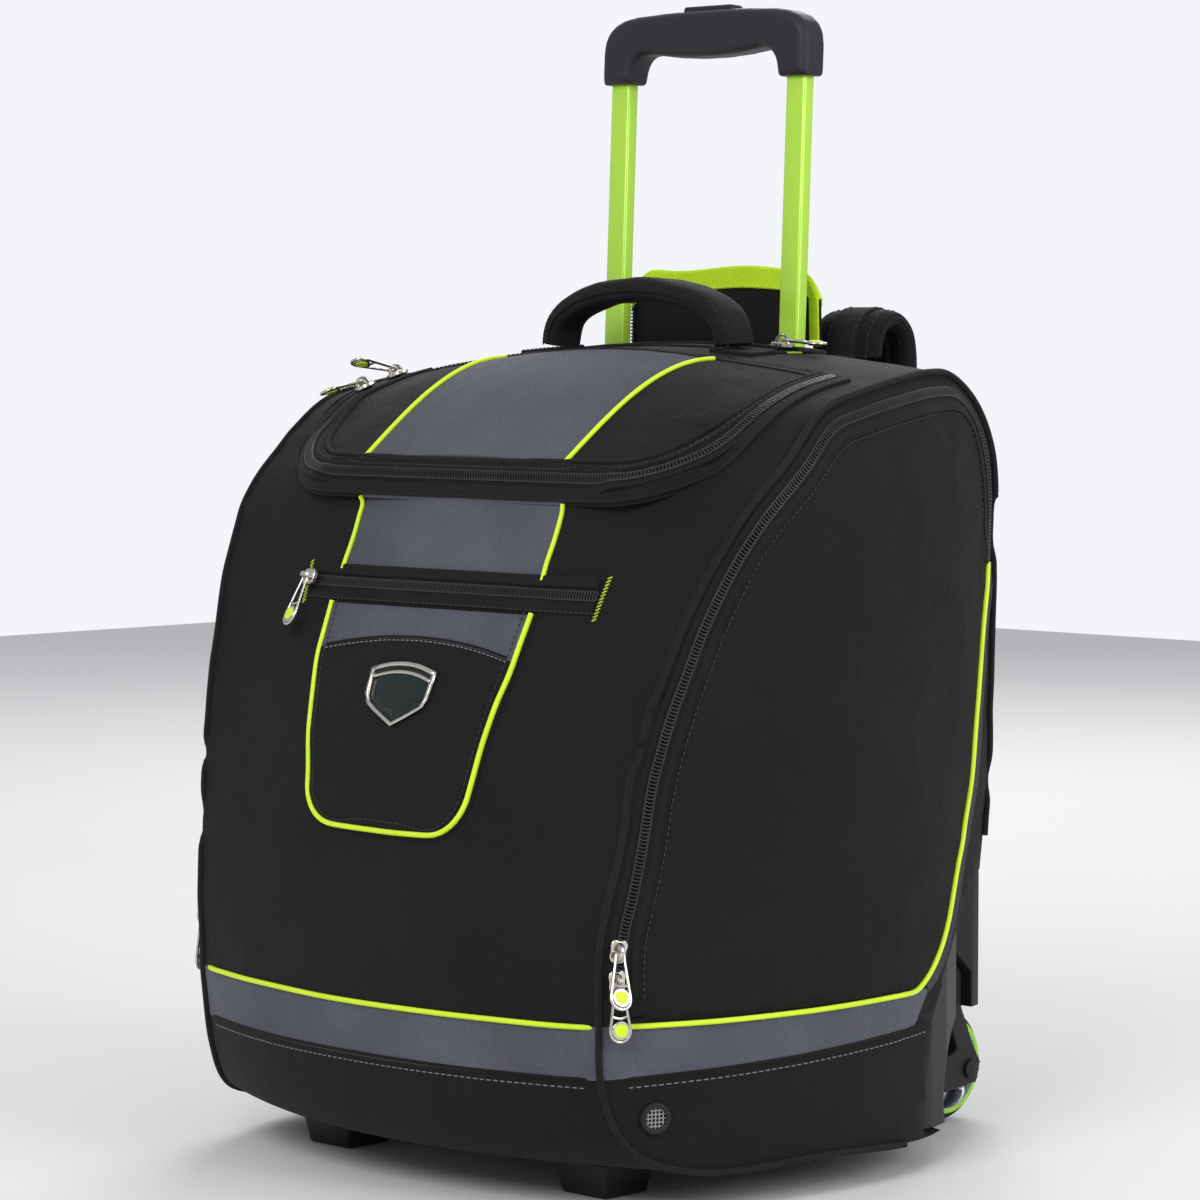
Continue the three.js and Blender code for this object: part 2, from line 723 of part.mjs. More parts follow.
const pocketZipBand = roundedRectangle(
  (POCKET_ZIP.right - POCKET_ZIP.left) / 2,
  CHAIN_WIDTH / 2,
  1,
  (POCKET_ZIP.right + POCKET_ZIP.left) / 2,
  POCKET_ZIP.z,
);

// ---------------------------------------------------------------- points on the cloth, where the sliders stand

// The wrap's outline, (Y, Z), at a given X, from the front's foot over the top to the back.
const sectionAt = (x) =>
  WELT.map(([wy, wz], i) => {
    const f = Math.abs(x / weltX(wy, wz)) ** WRAP_POWER;
    return [MIDDLE[i][0] + f * (wy - MIDDLE[i][0]), MIDDLE[i][1] + f * (wz - MIDDLE[i][1])];
  });

// Where a climbing run of points first passes value in one coordinate, the other coordinate there.
function crossing(points, key, value) {
  const i = points.findIndex((point, k) => k > 0 && point[key] > value);
  const [a, b] = [points[i - 1], points[i]];
  return a[1 - key] + ((value - a[key]) / (b[key] - a[key])) * (b[1 - key] - a[1 - key]);
}

const frontY = (x, z) => crossing(sectionAt(x), 1, z);
const topZ = (x, y) => crossing(sectionAt(x), 0, y);

// A slider's inner edge keeps to the chain, so that the door can pass it.
const doorChainLine = shifted([...DOOR_PATH, [DOOR_PATH[0][0], BAND_TOP + 2]], -GAP);
function doorChainPoint(sign, z) {
  const y = crossing(doorChainLine, 1, z);
  return [sign * (weltX(y, z) + 0.5), y, z];
}

// On the lid's left side the chain lies flat on the top, just inside the lid's edge.
function lidChainPoint(y) {
  const x = LID.halfWidth - GAP;
  return [-x, y, Math.max(topZ(x, y), lidTop(x, y))];
}

// ---------------------------------------------------------------- zip sliders and pulls

// Both are drawn at the origin: X across the chain, Y along it, Z out of the cloth.
function slider() {
  const plate = solid(box(-5, 5, -6, 6, 0, 3.2));
  const bridge = cut(solid(box(-1.6, 1.6, -5, 5, 3, 8.4)), solid(box(-3, 3, -3.6, 3.6, 3.2, 7)));
  return geometryOf(plate.add(bridge));
}

const PULL_HEIGHT = 5.1; // from the cloth to the pull's pivot
function pull() {
  const outline = new THREE.Shape();
  outline.moveTo(-3, 1.2);
  outline.lineTo(3, 1.2);
  outline.lineTo(5.6, -27);
  outline.absarc(0, -27, 5.6, 0, -Math.PI, true);
  const hole = new THREE.Path();
  hole.moveTo(-2.2, -1);
  hole.lineTo(-3.6, -20);
  hole.lineTo(3.6, -20);
  hole.lineTo(2.2, -1);
  outline.holes.push(hole);
  return new THREE.ExtrudeGeometry(outline, { depth: 2, bevelEnabled: false, curveSegments: 8 }).translate(0, 0, -1);
}

// ---------------------------------------------------------------- assembly

const bag = new THREE.Group();

function add(name, geometry, material, position = [0, 0, 0], parent = bag) {
  const mesh = new THREE.Mesh(geometry, material);
  mesh.name = name;
  mesh.position.set(...position);
  parent.add(mesh);
  return mesh;
}

const SIDES = [
  ["left", -1],
  ["right", 1],
];

// Body, lid and doors.
add("body_shell", geometryOf(shellSolid), MATERIAL.blackFabric);
add("lid", geometryOf(lidSolid), MATERIAL.greyFabric);
add("lid_zip_chain", geometryOf(lidChain), MATERIAL.zipPlastic);
for (const [side, sign] of SIDES) {
  add(`${side}_door`, geometryOf(skin.intersect(doorRegion(sign))), MATERIAL.blackFabric);
  add(`${side}_door_zip_chain`, geometryOf(doorChain(sign)), MATERIAL.zipPlastic);
}

// Front pocket.
const pocketPanel = layer(0.6, 4.4).intersect(frontPrism(pocketOutline()));
add("front_pocket_panel", geometryOf(pocketPanel), MATERIAL.greyFabric);
const pocketChain = layer(0.6, 2.6).intersect(frontPrism(pocketZipBand));
add("pocket_zip_chain", geometryOf(pocketChain), MATERIAL.zipPlastic);
add("badge", geometryOf(layer(4.8, 7).intersect(frontPrism(badgeOutline()))), MATERIAL.metal);

// Inside: base board, back board and the two dividers that part the skates from the middle.
add("base_board", box(-80, 80, -105, 140, 19, 22), MATERIAL.board);
add("back_board", box(-150, 150, 97, 99.5, 60, 470), MATERIAL.board);
const dividerOutline = polygon([
  [-146, 23],
  [-158, 70],
  [-158, 165],
  [-149, 232],
  [-132, 300],
  [-100, 375],
  [-60, 405],
  [60, 455],
  [95, 462],
  [95, 23],
]);
for (const [side, sign] of SIDES) {
  const x = sign * DIVIDER_X;
  const panel = solid(plateX(dividerOutline, x - 1.5, x + 1.5));
  add(`${side}_divider`, geometryOf(panel.intersect(bodySolid(-WALL - GAP))), MATERIAL.blackFabric);
}

// Tow handle: fixed outer tubes, bracket and bezel; sliding inner tubes, grip and button.
for (const [side, sign] of SIDES) {
  const x = sign * TUBE.x;
  const outer = OUTER_TUBE;
  const top = GRIP.bottom + GRIP.socketDepth;
  add(
    `${side}_outer_tube`,
    tube(x, outer.width, outer.depth, TUBE.radius + 1, outer.wall, outer.bottom, outer.top),
    MATERIAL.steel,
  );
  add(
    `${side}_inner_tube`,
    tube(x, TUBE.width, TUBE.depth, TUBE.radius, TUBE.wall, top - TUBE.length, top),
    MATERIAL.limePaint,
  );
}
add("tube_bracket", leant(box(-91, 91, 120, 146, 26, 39.6)), MATERIAL.blackPlastic);
add("handle_bezel", bezel(), MATERIAL.blackPlastic);
add("grip", grip(), MATERIAL.gripRubber);
add("release_button", releaseButton(), MATERIAL.gripRubber);

// Wheels, housings, axles, rails, kick plate and feet.
for (const [side, sign] of SIDES) {
  const turn = sign > 0 ? 0 : Math.PI;
  const centre = [sign * WHEEL.x, WHEEL.y, WHEEL.z];
  for (const [part, geometry, material] of [
    ["tyre", tyre(), MATERIAL.tyre],
    ["hub", hub(), MATERIAL.hub],
    ["bearing", bearing(), MATERIAL.steel],
  ]) {
    add(`${side}_wheel_${part}`, geometry, material, centre).rotation.set(0, 0, turn);
  }
  add(`${side}_axle`, mirrored(solid(rodX(AXLE_RADIUS, 86, 140, WHEEL.y, WHEEL.z)), sign), MATERIAL.steel);
  add(`${side}_wheel_housing`, housing(sign), MATERIAL.blackPlastic);
  add(`${side}_skid_rail`, skidRail(sign), MATERIAL.blackPlastic);
  const foot = new THREE.CylinderGeometry(33, 27, 23, 4, 1).rotateY(Math.PI / 4).rotateX(Math.PI / 2);
  add(`${side}_foot`, foot, MATERIAL.blackPlastic, [sign * 119, -86, -0.5]);
  const eyelet = new THREE.LatheGeometry(
    [
      [5, -3],
      [EYELET.radius, -3],
      [EYELET.radius, 3],
      [5, 3],
      [5, -3],
    ].map(([r, h]) => new THREE.Vector2(r, h)),
    24,
  ).rotateZ(-Math.PI / 2);
  const eyeletX = weltX(EYELET.y, EYELET.z) - 1;
  add(`${side}_vent_eyelet`, eyelet, MATERIAL.blackPlastic, [sign * eyeletX, EYELET.y, EYELET.z]);
}
add("kick_plate", box(-82, 82, 201, 205, 30, 190), MATERIAL.blackPlastic);

// Handles, straps and flap.
add("grab_handle", grabHandle(), MATERIAL.blackFabric);
add("garage_flap", garageFlap(), MATERIAL.blackFabric);
const garageChain = layer(0.6, 2.6).intersect(solid(box(-94, 100, 108, 113, 480, 560)));
add("garage_zip_chain", geometryOf(garageChain), MATERIAL.zipPlastic);
for (const [side, sign] of SIDES) {
  add(`${side}_shoulder_strap`, shoulderStrap(sign), MATERIAL.blackFabric);
  add(`${side}_strap_webbing`, strapWebbing(sign), MATERIAL.blackFabric);
}

// Zip sliders, each with its pull. A slider stands at one place on a path along its chain, proud of the cloth;
// the pull hangs back along the path, swung out from the cloth by its own angle.
const SLIDERS = [
  {
    name: "pocket",
    path: (z) => [-116, frontY(-116, z), z],
    at: POCKET_ZIP.z,
    out: [-0.25, -0.9, 0.3],
    proud: 4.6,
    swing: 6,
  },
  {
    name: "garage",
    path: (t) => [-t, 110.5, topZ(-t, 110.5)],
    at: -92,
    out: [0.05, 0, 1],
    proud: 3.2,
    swing: 0,
  },
  { name: "lid_front", path: lidChainPoint, at: 0, out: [-0.35, 0, 1], proud: 2.6, swing: 8 },
  { name: "lid_rear", path: lidChainPoint, at: 30, out: [-0.35, 0, 1], proud: 2.2, swing: 24 },
  ...[
    { name: "left_door", side: -1, at: 140, swing: 4 },
    { name: "right_door_lower", side: 1, at: 136, swing: 4 },
    { name: "right_door_upper", side: 1, at: 155, swing: 26 },
  ].map(({ side, ...rest }) => ({
    ...rest,
    path: (z) => doorChainPoint(side, z),
    out: [side * 0.92, -0.39, 0],
    proud: 0.8,
  })),
];
for (const { name, path, at, out, proud, swing } of SLIDERS) {
  const y = new THREE.Vector3(...path(at + 3)).sub(new THREE.Vector3(...path(at - 3))).normalize();
  const z = new THREE.Vector3(...out).projectOnPlane(y).normalize();
  const x = new THREE.Vector3().crossVectors(y, z);
  const stand = new THREE.Group();
  stand.quaternion.setFromRotationMatrix(new THREE.Matrix4().makeBasis(x, y, z));
  stand.position.set(...path(at)).addScaledVector(z, proud);
  bag.add(stand);
  add(`${name}_slider`, slider(), MATERIAL.metal, [0, 0, 0], stand);
  const hung = add(`${name}_pull`, pull(), MATERIAL.metal, [0, 0, PULL_HEIGHT], stand);
  hung.rotation.x = -THREE.MathUtils.degToRad(swing);
}

// The origin goes on the ground, half-way between the bag's foremost and rearmost points.
const middle = new THREE.Box3().setFromObject(bag, true).getCenter(new THREE.Vector3());
bag.position.set(0, -middle.y, LIFT);
const wholeBag = new THREE.Group();
wholeBag.add(bag);

export default wholeBag;
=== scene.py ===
"""A wheeled skate bag: the looks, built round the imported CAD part.

Lengths are in millimetres and heights are counted from the cloth body's datum, LIFT above the ground.
to_world() turns both into metres in the part's own frame.
"""

import json
import math

import bpy
import bmesh
from mathutils import Matrix, Vector, noise
from mathutils.bvhtree import BVHTree


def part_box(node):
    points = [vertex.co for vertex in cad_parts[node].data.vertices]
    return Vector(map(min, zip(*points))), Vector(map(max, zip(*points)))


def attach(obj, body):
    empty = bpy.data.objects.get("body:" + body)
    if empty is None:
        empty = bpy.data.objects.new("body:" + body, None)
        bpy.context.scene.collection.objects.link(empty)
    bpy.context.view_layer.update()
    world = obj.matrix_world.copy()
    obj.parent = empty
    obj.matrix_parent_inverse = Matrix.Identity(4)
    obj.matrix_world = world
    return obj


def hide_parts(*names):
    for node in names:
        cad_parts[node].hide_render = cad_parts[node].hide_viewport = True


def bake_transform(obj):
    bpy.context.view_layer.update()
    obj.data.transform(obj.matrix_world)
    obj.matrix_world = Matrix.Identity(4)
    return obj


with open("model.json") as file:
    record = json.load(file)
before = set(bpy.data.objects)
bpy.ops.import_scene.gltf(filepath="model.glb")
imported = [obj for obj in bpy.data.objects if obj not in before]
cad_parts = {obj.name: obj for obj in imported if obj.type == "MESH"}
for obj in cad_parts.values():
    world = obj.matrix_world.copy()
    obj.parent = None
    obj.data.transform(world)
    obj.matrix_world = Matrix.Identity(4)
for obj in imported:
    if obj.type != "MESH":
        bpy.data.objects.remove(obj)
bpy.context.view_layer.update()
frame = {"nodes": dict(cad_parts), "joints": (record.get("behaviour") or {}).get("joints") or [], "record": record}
nodes = frame["nodes"]
JOINTS = {joint["name"]: joint for joint in frame["joints"]}
BODIES = frame["record"]["behaviour"]["bodies"]
BODY_OF = {node: body for body, members in BODIES.items() for node in members}

# ---------------------------------------------------------------- driving dimensions, the same as the CAD's

MM = 0.001
LIFT = 12
WALL = 3.5
GAP = 0.8
CHAIN = 5
BASE = 14
BAND_TOP = 108
BAND_LOW = 76
BAND_RISE = 10  # how much higher the band's lower seam is at its rear end
BAND_END = 100
BAND_CORNER = -138  # where the band turns from the side to the front
SEAM_ALLOWANCE = 9
LID_HINGE = 50
LID_HALF = 194
LID_CORNER = 66
LID_FLANK = -40
LID_FRONT = -97
LID_SKIRT = 14
LID_NOSE = -58  # the lid's edge stands upright in front of this Y
LID_FLAT = -24  # and lies along the top behind this one
# The grey strips' half widths, and how fast they widen: up from Z = 300, and back from Y = -100.
STRIP_HALF, STRIP_FLARE = 88.5, 0.045
LID_STRIP_HALF, LID_STRIP_FLARE = 92, 0.03
# The seam across the pocket: its height in the middle, and how it bends down.
POCKET_SEAM, POCKET_SEAM_BEND = 335, 0.0012
WHEEL_X, WHEEL_Y, WHEEL_Z = 110, 246, 28
HOUSING_INNER = 93
AXLE_END = 144
POCKET_Z, POCKET_LEFT, POCKET_RIGHT = 367, -122, 140
EYELET_Y, EYELET_Z = -122, 50
HANDLE_Y, HANDLE_FOOT = 76, 522
STRAP_X = 85
PULL_HEIGHT = 5.1  # from a zip to its pulls' pivots
ZIP_MIDDLE = GAP + CHAIN / 2
TOOTH_PITCH = 2.3
SIDES = (("left", -1), ("right", 1))
# The wheel housing from the side, (Y, Z).
HOUSING_OUTLINE = (
    (109, 11),
    (107, 50),
    (111, 84),
    (124, 112),
    (146, 142),
    (166, 166),
    (186, 176),
    (206, 160),
    (222, 110),
    (262, 76),
    (262, 11),
)

# The part's own origin lies behind the datum, so that it is under the middle of the whole bag.
axle_low, axle_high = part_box("left_axle")
SETBACK = WHEEL_Y - (axle_low.y + axle_high.y) / 2 / MM


def to_world(p):
    return (p[0] * MM, (p[1] - SETBACK) * MM, (p[2] + LIFT) * MM)


def to_datum(v):
    return Vector((v[0] / MM, v[1] / MM + SETBACK, v[2] / MM - LIFT))


def spread(start, end, steps):
    """Evenly spaced values from start to end, both included."""
    return [start + (end - start) * i / steps for i in range(steps + 1)]


def mirrored(points):
    """A flat outline's other half, from its last point back to its first."""
    return [(-x, y) for x, y in reversed(points)]


# ---------------------------------------------------------------- shader nodes


class Value:
    """A node socket that takes part in arithmetic."""

    def __init__(self, tree, socket):
        self.tree = tree
        self.socket = socket

    def math(self, operation, *others):
        node = self.tree.nodes.new("ShaderNodeMath")
        node.operation = operation
        for i, value in enumerate((self, *others)):
            if isinstance(value, Value):
                self.tree.links.new(value.socket, node.inputs[i])
            else:
                node.inputs[i].default_value = value
        return Value(self.tree, node.outputs[0])

    def __add__(self, other):
        return self.math("ADD", other)

    def __sub__(self, other):
        return self.math("SUBTRACT", other)

    def __mul__(self, other):
        return self.math("MULTIPLY", other)

    def __gt__(self, other):
        return self.math("GREATER_THAN", other)

    def __lt__(self, other):
        return self.math("LESS_THAN", other)

    def abs(self):
        return self.math("ABSOLUTE")

    def sin(self):
        return self.math("SINE")

    def both(self, other):
        return self * other

    def either(self, other):
        return self.math("MAXIMUM", other)


class Shader:
    """A principled material and the few node patterns that the bag's materials share."""

    def __init__(self, name, roughness=0.5, metallic=0.0):
        self.material = bpy.data.materials.new(name)
        self.material.use_nodes = True
        self.tree = self.material.node_tree
        self.bsdf = self.tree.nodes["Principled BSDF"]
        self.bsdf.inputs["Roughness"].default_value = roughness
        self.bsdf.inputs["Metallic"].default_value = metallic
        place = self.tree.nodes.new("ShaderNodeTexCoord")
        self.place = place.outputs["Object"]
        parts = self.tree.nodes.new("ShaderNodeSeparateXYZ")
        self.tree.links.new(self.place, parts.inputs[0])
        x, y, z = (Value(self.tree, parts.outputs[i]) for i in range(3))
        self.x, self.y, self.z = x, y + SETBACK * MM, z - LIFT * MM

    def noise(self, scale, detail=3.0, low=0.0, high=1.0):
        node = self.tree.nodes.new("ShaderNodeTexNoise")
        node.inputs["Scale"].default_value = scale
        node.inputs["Detail"].default_value = detail
        self.tree.links.new(self.place, node.inputs["Vector"])
        spread = self.tree.nodes.new("ShaderNodeMapRange")
        spread.inputs["From Min"].default_value = 0.3
        spread.inputs["From Max"].default_value = 0.7
        spread.inputs["To Min"].default_value = low
        spread.inputs["To Max"].default_value = high
        self.tree.links.new(node.outputs["Fac"], spread.inputs["Value"])
        return Value(self.tree, spread.outputs[0])

    def mix(self, factor, first, second):
        node = self.tree.nodes.new("ShaderNodeMix")
        node.data_type = "RGBA"
        colours = {"Factor_Float": factor, "A_Color": first, "B_Color": second}
        for identifier, value in colours.items():
            socket = next(s for s in node.inputs if s.identifier == identifier)
            self.feed(socket, value)
        return next(s for s in node.outputs if s.identifier == "Result_Color")

    def feed(self, socket, value):
        """Links a value or socket, or sets a plain number or colour."""
        if isinstance(value, Value):
            self.tree.links.new(value.socket, socket)
        elif isinstance(value, bpy.types.NodeSocket):
            self.tree.links.new(value, socket)
        elif isinstance(value, tuple):
            socket.default_value = (*value, 1)
        else:
            socket.default_value = value

    def set(self, name, value):
        self.feed(self.bsdf.inputs[name], value)

    def bump(self, height, distance, strength=1.0):
        node = self.tree.nodes.new("ShaderNodeBump")
        node.inputs["Distance"].default_value = distance
        node.inputs["Strength"].default_value = strength
        self.tree.links.new(height.socket, node.inputs["Height"])
        previous = self.bsdf.inputs["Normal"].links
        if previous:
            self.tree.links.new(previous[0].from_socket, node.inputs["Normal"])
        self.tree.links.new(node.outputs[0], self.bsdf.inputs["Normal"])


def rib(shader, direction, pitch):
    """Parallel ribs, 0 to 1, one every pitch along a direction in the part's frame."""
    along = shader.x * direction[0] + shader.y * direction[1] + shader.z * direction[2]
    return (along * (2 * math.pi / pitch)).sin() * 0.5 + 0.5


BLACK = (0.0052, 0.0052, 0.0056)
GREY = (0.09, 0.093, 0.118)
LIME = (0.6, 0.86, 0.025)


def fabric(name, colour, pitch, second=None, mask=None, sheen=0.025, relief=1.0):
    """Twill: a steep rib crossed by a faint one, with lint and slow fading. A mask sets a second colour."""
    shader = Shader(name, roughness=0.86)
    twill = rib(shader, (1, 0.8, 0.9), pitch)
    weft = rib(shader, (-0.9, -0.7, 1), pitch * 0.8)
    lint = shader.noise(900, detail=2)
    fade = shader.noise(9, low=0.78, high=1.22)
    weave = twill * 0.6 + weft * 0.25 + lint * 0.3
    base = shader.mix(mask(shader) if mask else 0.0, colour, second or colour)
    lit = shader.tree.nodes.new("ShaderNodeVectorMath")
    lit.operation = "SCALE"
    shader.tree.links.new(base, lit.inputs[0])
    shader.tree.links.new(((weave * 0.75 + 0.55) * fade).socket, lit.inputs["Scale"])
    shader.set("Base Color", lit.outputs[0])
    shader.set("Roughness", weave * 0.16 + 0.72)
    shader.set("Sheen Weight", sheen)
    shader.set("Sheen Roughness", 0.45)
    shader.set("Specular IOR Level", 0.25)
    shader.bump(weave, 0.00035 * relief)
    shader.bump(shader.noise(38, detail=4), 0.0016, 0.5)
    return shader.material


def plastic(name, colour, roughness=0.45, grain=1400, scuff=0.08):
    """Moulded plastic: a fine spark-eroded grain and slightly shinier handling marks."""
    shader = Shader(name, roughness=roughness)
    grain_height = shader.noise(grain, detail=2)
    marks = shader.noise(22, detail=5)
    paler = tuple(min(1, c * 1.7 + 0.006) for c in colour)
    shader.set("Base Color", shader.mix(marks * 0.35, colour, paler))
    shader.set("Roughness", marks * scuff + grain_height * 0.08 + (roughness - 0.06))
    shader.set("Specular IOR Level", 0.34)
    shader.bump(grain_height, 0.00007)
    return shader.material


def metal(name, colour, roughness=0.22):
    """Plated or bare metal with faint swirls and darker tarnish."""
    shader = Shader(name, roughness=roughness, metallic=1.0)
    tarnish = shader.noise(120, detail=4)
    shader.set("Base Color", shader.mix(tarnish * 0.3, colour, tuple(c * 0.72 for c in colour)))
    shader.set("Roughness", shader.noise(400, detail=3, low=roughness - 0.05, high=roughness + 0.1))
    shader.bump(tarnish, 0.00003)
    return shader.material


def paint(name, colour):
    """Glossy paint on tube: orange peel, a soft clear coat, and rubbed patches."""
    shader = Shader(name, roughness=0.32, metallic=0.15)
    rubbed = shader.noise(60, detail=5)
    shader.set("Base Color", shader.mix(rubbed * 0.22, colour, tuple(c * 0.8 for c in colour)))
    shader.set("Roughness", rubbed * 0.1 + 0.26)
    shader.set("Coat Weight", 0.4)
    shader.set("Coat Roughness", 0.15)
    shader.bump(shader.noise(260, detail=2), 0.00004)
    return shader.material


def plain(name, colour):
    """A matt, nearly even surface."""
    shader = Shader(name, roughness=0.8)
    shader.set("Base Color", shader.mix(shader.noise(2), colour, tuple(c * 0.98 for c in colour)))
    return shader.material


def body_grey(shader):
    """The band above the base, and the front's middle strip between the lid and the pocket's zip."""
    x, y, z = shader.x, shader.y, shader.z
    curl = (y - 0.088).math("MAXIMUM", 0.0) * 1.3  # the seam turns up just before its rear end
    rise = (y - MM * BAND_CORNER) * (BAND_RISE / (BAND_END - BAND_CORNER)) + curl
    band = (z < MM * BAND_TOP + 0.0005).both(z - rise > MM * BAND_LOW)
    middle = x.abs() < (z - 0.3) * STRIP_FLARE + MM * STRIP_HALF
    strip = middle.both(z > MM * POCKET_Z).both(y < 0.0)
    return band.either(strip)


def lid_grey(shader):
    """The lid's middle strip."""
    return shader.x.abs() < (shader.y + 0.1) * LID_STRIP_FLARE + MM * LID_STRIP_HALF


def pocket_grey(shader):
    """The pocket above its curved seam."""
    return shader.z > shader.x * shader.x * (-POCKET_SEAM_BEND / MM) + MM * POCKET_SEAM


MATERIALS = {
    "body": fabric("black_and_grey_twill", BLACK, 0.0017, GREY, body_grey),
    "lid": fabric("lid_twill", BLACK, 0.0017, GREY, lid_grey),
    "pocket": fabric("pocket_twill", BLACK, 0.0017, GREY, pocket_grey),
    "black": fabric("black_twill", BLACK, 0.0017),
    "webbing": fabric("black_webbing", (0.0095, 0.0095, 0.0105), 0.0022, relief=2.0),
    "grey_webbing": fabric("grey_webbing", (0.045, 0.048, 0.058), 0.0022, relief=2.0),
    "tape": fabric("zip_tape", (0.007, 0.007, 0.0074), 0.0016, relief=1.4),
    "lining": fabric("lining", (0.035, 0.036, 0.04), 0.0008, relief=0.5),
    "lime_cloth": fabric("lime_cloth", LIME, 0.001, relief=0.7),
    "mesh": fabric("spacer_mesh", (0.012, 0.012, 0.014), 0.003, relief=2.5),
    "piping": plastic("lime_piping", LIME, 0.42, grain=700),
    "thread": plastic("grey_thread", (0.16, 0.16, 0.17), 0.6, grain=3000),
    "black_thread": plastic("black_thread", (0.03, 0.03, 0.032), 0.6, grain=3000),
    "lime_thread": plastic("lime_thread", (0.5, 0.72, 0.05), 0.6, grain=3000),
    "coil": plastic("zip_coil", (0.018, 0.018, 0.02), 0.36, grain=2500),
    "moulding": plastic("black_moulding", (0.0075, 0.0077, 0.0084), 0.5),
    "board": plastic("black_board", (0.03, 0.03, 0.033), 0.6),
    "grip": plastic("grip_rubber", (0.013, 0.0145, 0.018), 0.5, grain=900),
    "tyre": plastic("tyre_rubber", (0.012, 0.012, 0.012), 0.62, grain=500),
    "hub": metal("silver_hub", (0.62, 0.64, 0.68), 0.28),
    "nickel": metal("nickel", (0.66, 0.63, 0.57), 0.2),
    "steel": metal("steel", (0.45, 0.45, 0.46), 0.34),
    "enamel": plastic("dark_enamel", (0.006, 0.012, 0.011), 0.2, grain=60),
    "lime_paint": paint("lime_paint", (0.46, 0.78, 0.06)),
    "lime_ring": plastic("lime_ring", (0.3, 0.6, 0.04), 0.4),
    "floor": plain("floor", (0.8, 0.8, 0.8)),
}

# ---------------------------------------------------------------- meshes


def object_of(name, mesh, material):
    """An object in the scene that shows a mesh in one material."""
    piece = bpy.data.objects.new(name, mesh)
    bpy.context.scene.collection.objects.link(piece)
    mesh.materials.clear()
    mesh.materials.append(MATERIALS[material])
    return piece


def shade_smooth(mesh, angle=None):
    """Smooth shading, apart from edges that are sharper than an angle in degrees."""
    mesh.polygons.foreach_set("use_smooth", [True] * len(mesh.polygons))
    if angle:
        mesh.set_sharp_from_angle(angle=math.radians(angle))


def new_object(name, vertices, faces, material, smooth=35):
    """A mesh in millimetres from the datum, made into an object in metres."""
    mesh = bpy.data.meshes.new(name)
    mesh.from_pydata([to_world(v) for v in vertices], [], faces)
    mesh.validate()
    piece = object_of(name, mesh, material)
    shade_smooth(mesh, smooth)
    return piece


def outward(piece):
    """Turns a closed mesh's faces to point outwards."""
    bm = bmesh.new()
    bm.from_mesh(piece.data)
    bmesh.ops.recalc_face_normals(bm, faces=bm.faces)
    bm.to_mesh(piece.data)
    bm.free()
    return piece


def apply_modifiers(piece):
    """Works a piece's modifiers into its mesh."""
    graph = bpy.context.evaluated_depsgraph_get()
    mesh = bpy.data.meshes.new_from_object(piece.evaluated_get(graph))
    piece.modifiers.clear()
    old = piece.data
    piece.data = mesh
    bpy.data.meshes.remove(old)
    return piece


def boolean(piece, other, operation):
    """Cuts, adds or keeps the shared part. The other object is used up."""
    modifier = piece.modifiers.new("cut", "BOOLEAN")
    modifier.operation = operation
    modifier.solver = "MANIFOLD"
    modifier.object = other
    apply_modifiers(piece)
    bpy.data.objects.remove(other)
    return piece


def eased(piece, width):
    """Rounds off a piece's sharp edges."""
    modifier = piece.modifiers.new("eased", "BEVEL")
    modifier.width = width * MM
    modifier.segments = 2
    return apply_modifiers(piece)


def recoloured(piece, material):
    """Shows every face of a piece in one material."""
    for i in range(len(piece.data.materials)):
        piece.data.materials[i] = MATERIALS[material]
    return piece


def copy_of(piece):
    """A second object with a mesh of its own."""
    twin = piece.copy()
    twin.data = piece.data.copy()
    bpy.context.scene.collection.objects.link(twin)
    return twin


def displaced(piece, amount):
    """Moves each vertex along its normal, by what amount() says for its place, in millimetres."""
    normals = [v.normal.copy() for v in piece.data.vertices]
    for vertex, normal in zip(piece.data.vertices, normals):
        vertex.co += normal * amount(vertex.co) * MM
    return piece


def prism(outline, axis, low, high):
    """An outline extruded along an axis. The outline's coordinates are the other two, in X, Y, Z order."""

    def point(a, b, c):
        return {"x": (c, a, b), "y": (a, c, b), "z": (a, b, c)}[axis]

    n = len(outline)
    vertices = [point(a, b, low) for a, b in outline] + [point(a, b, high) for a, b in outline]
    faces = [tuple(range(n)), tuple(range(2 * n - 1, n - 1, -1))]
    faces += [(i, i + n, (i + 1) % n + n, (i + 1) % n) for i in range(n)]
    return outward(new_object("prism", vertices, faces, "black"))


def box(x0, x1, y0, y1, z0, z1):
    """A plain block between two values on each axis, for cutting and for small mouldings."""
    return prism([(x0, y0), (x1, y0), (x1, y1), (x0, y1)], "z", z0, z1)


def shifted(points, distance):
    """A closed outline moved to the left of its travel, with mitred corners."""

    def normal(p, q):
        length = math.dist(p, q)
        return (p[1] - q[1]) / length, (q[0] - p[0]) / length

    result = []
    for i, point in enumerate(points):
        u0, v0 = normal(points[i - 1], point)
        u1, v1 = normal(point, points[(i + 1) % len(points)])
        scale = distance / (1 + u0 * u1 + v0 * v1)
        result.append((point[0] + scale * (u0 + u1), point[1] + scale * (v0 + v1)))
    return result


# ---------------------------------------------------------------- the cloth body

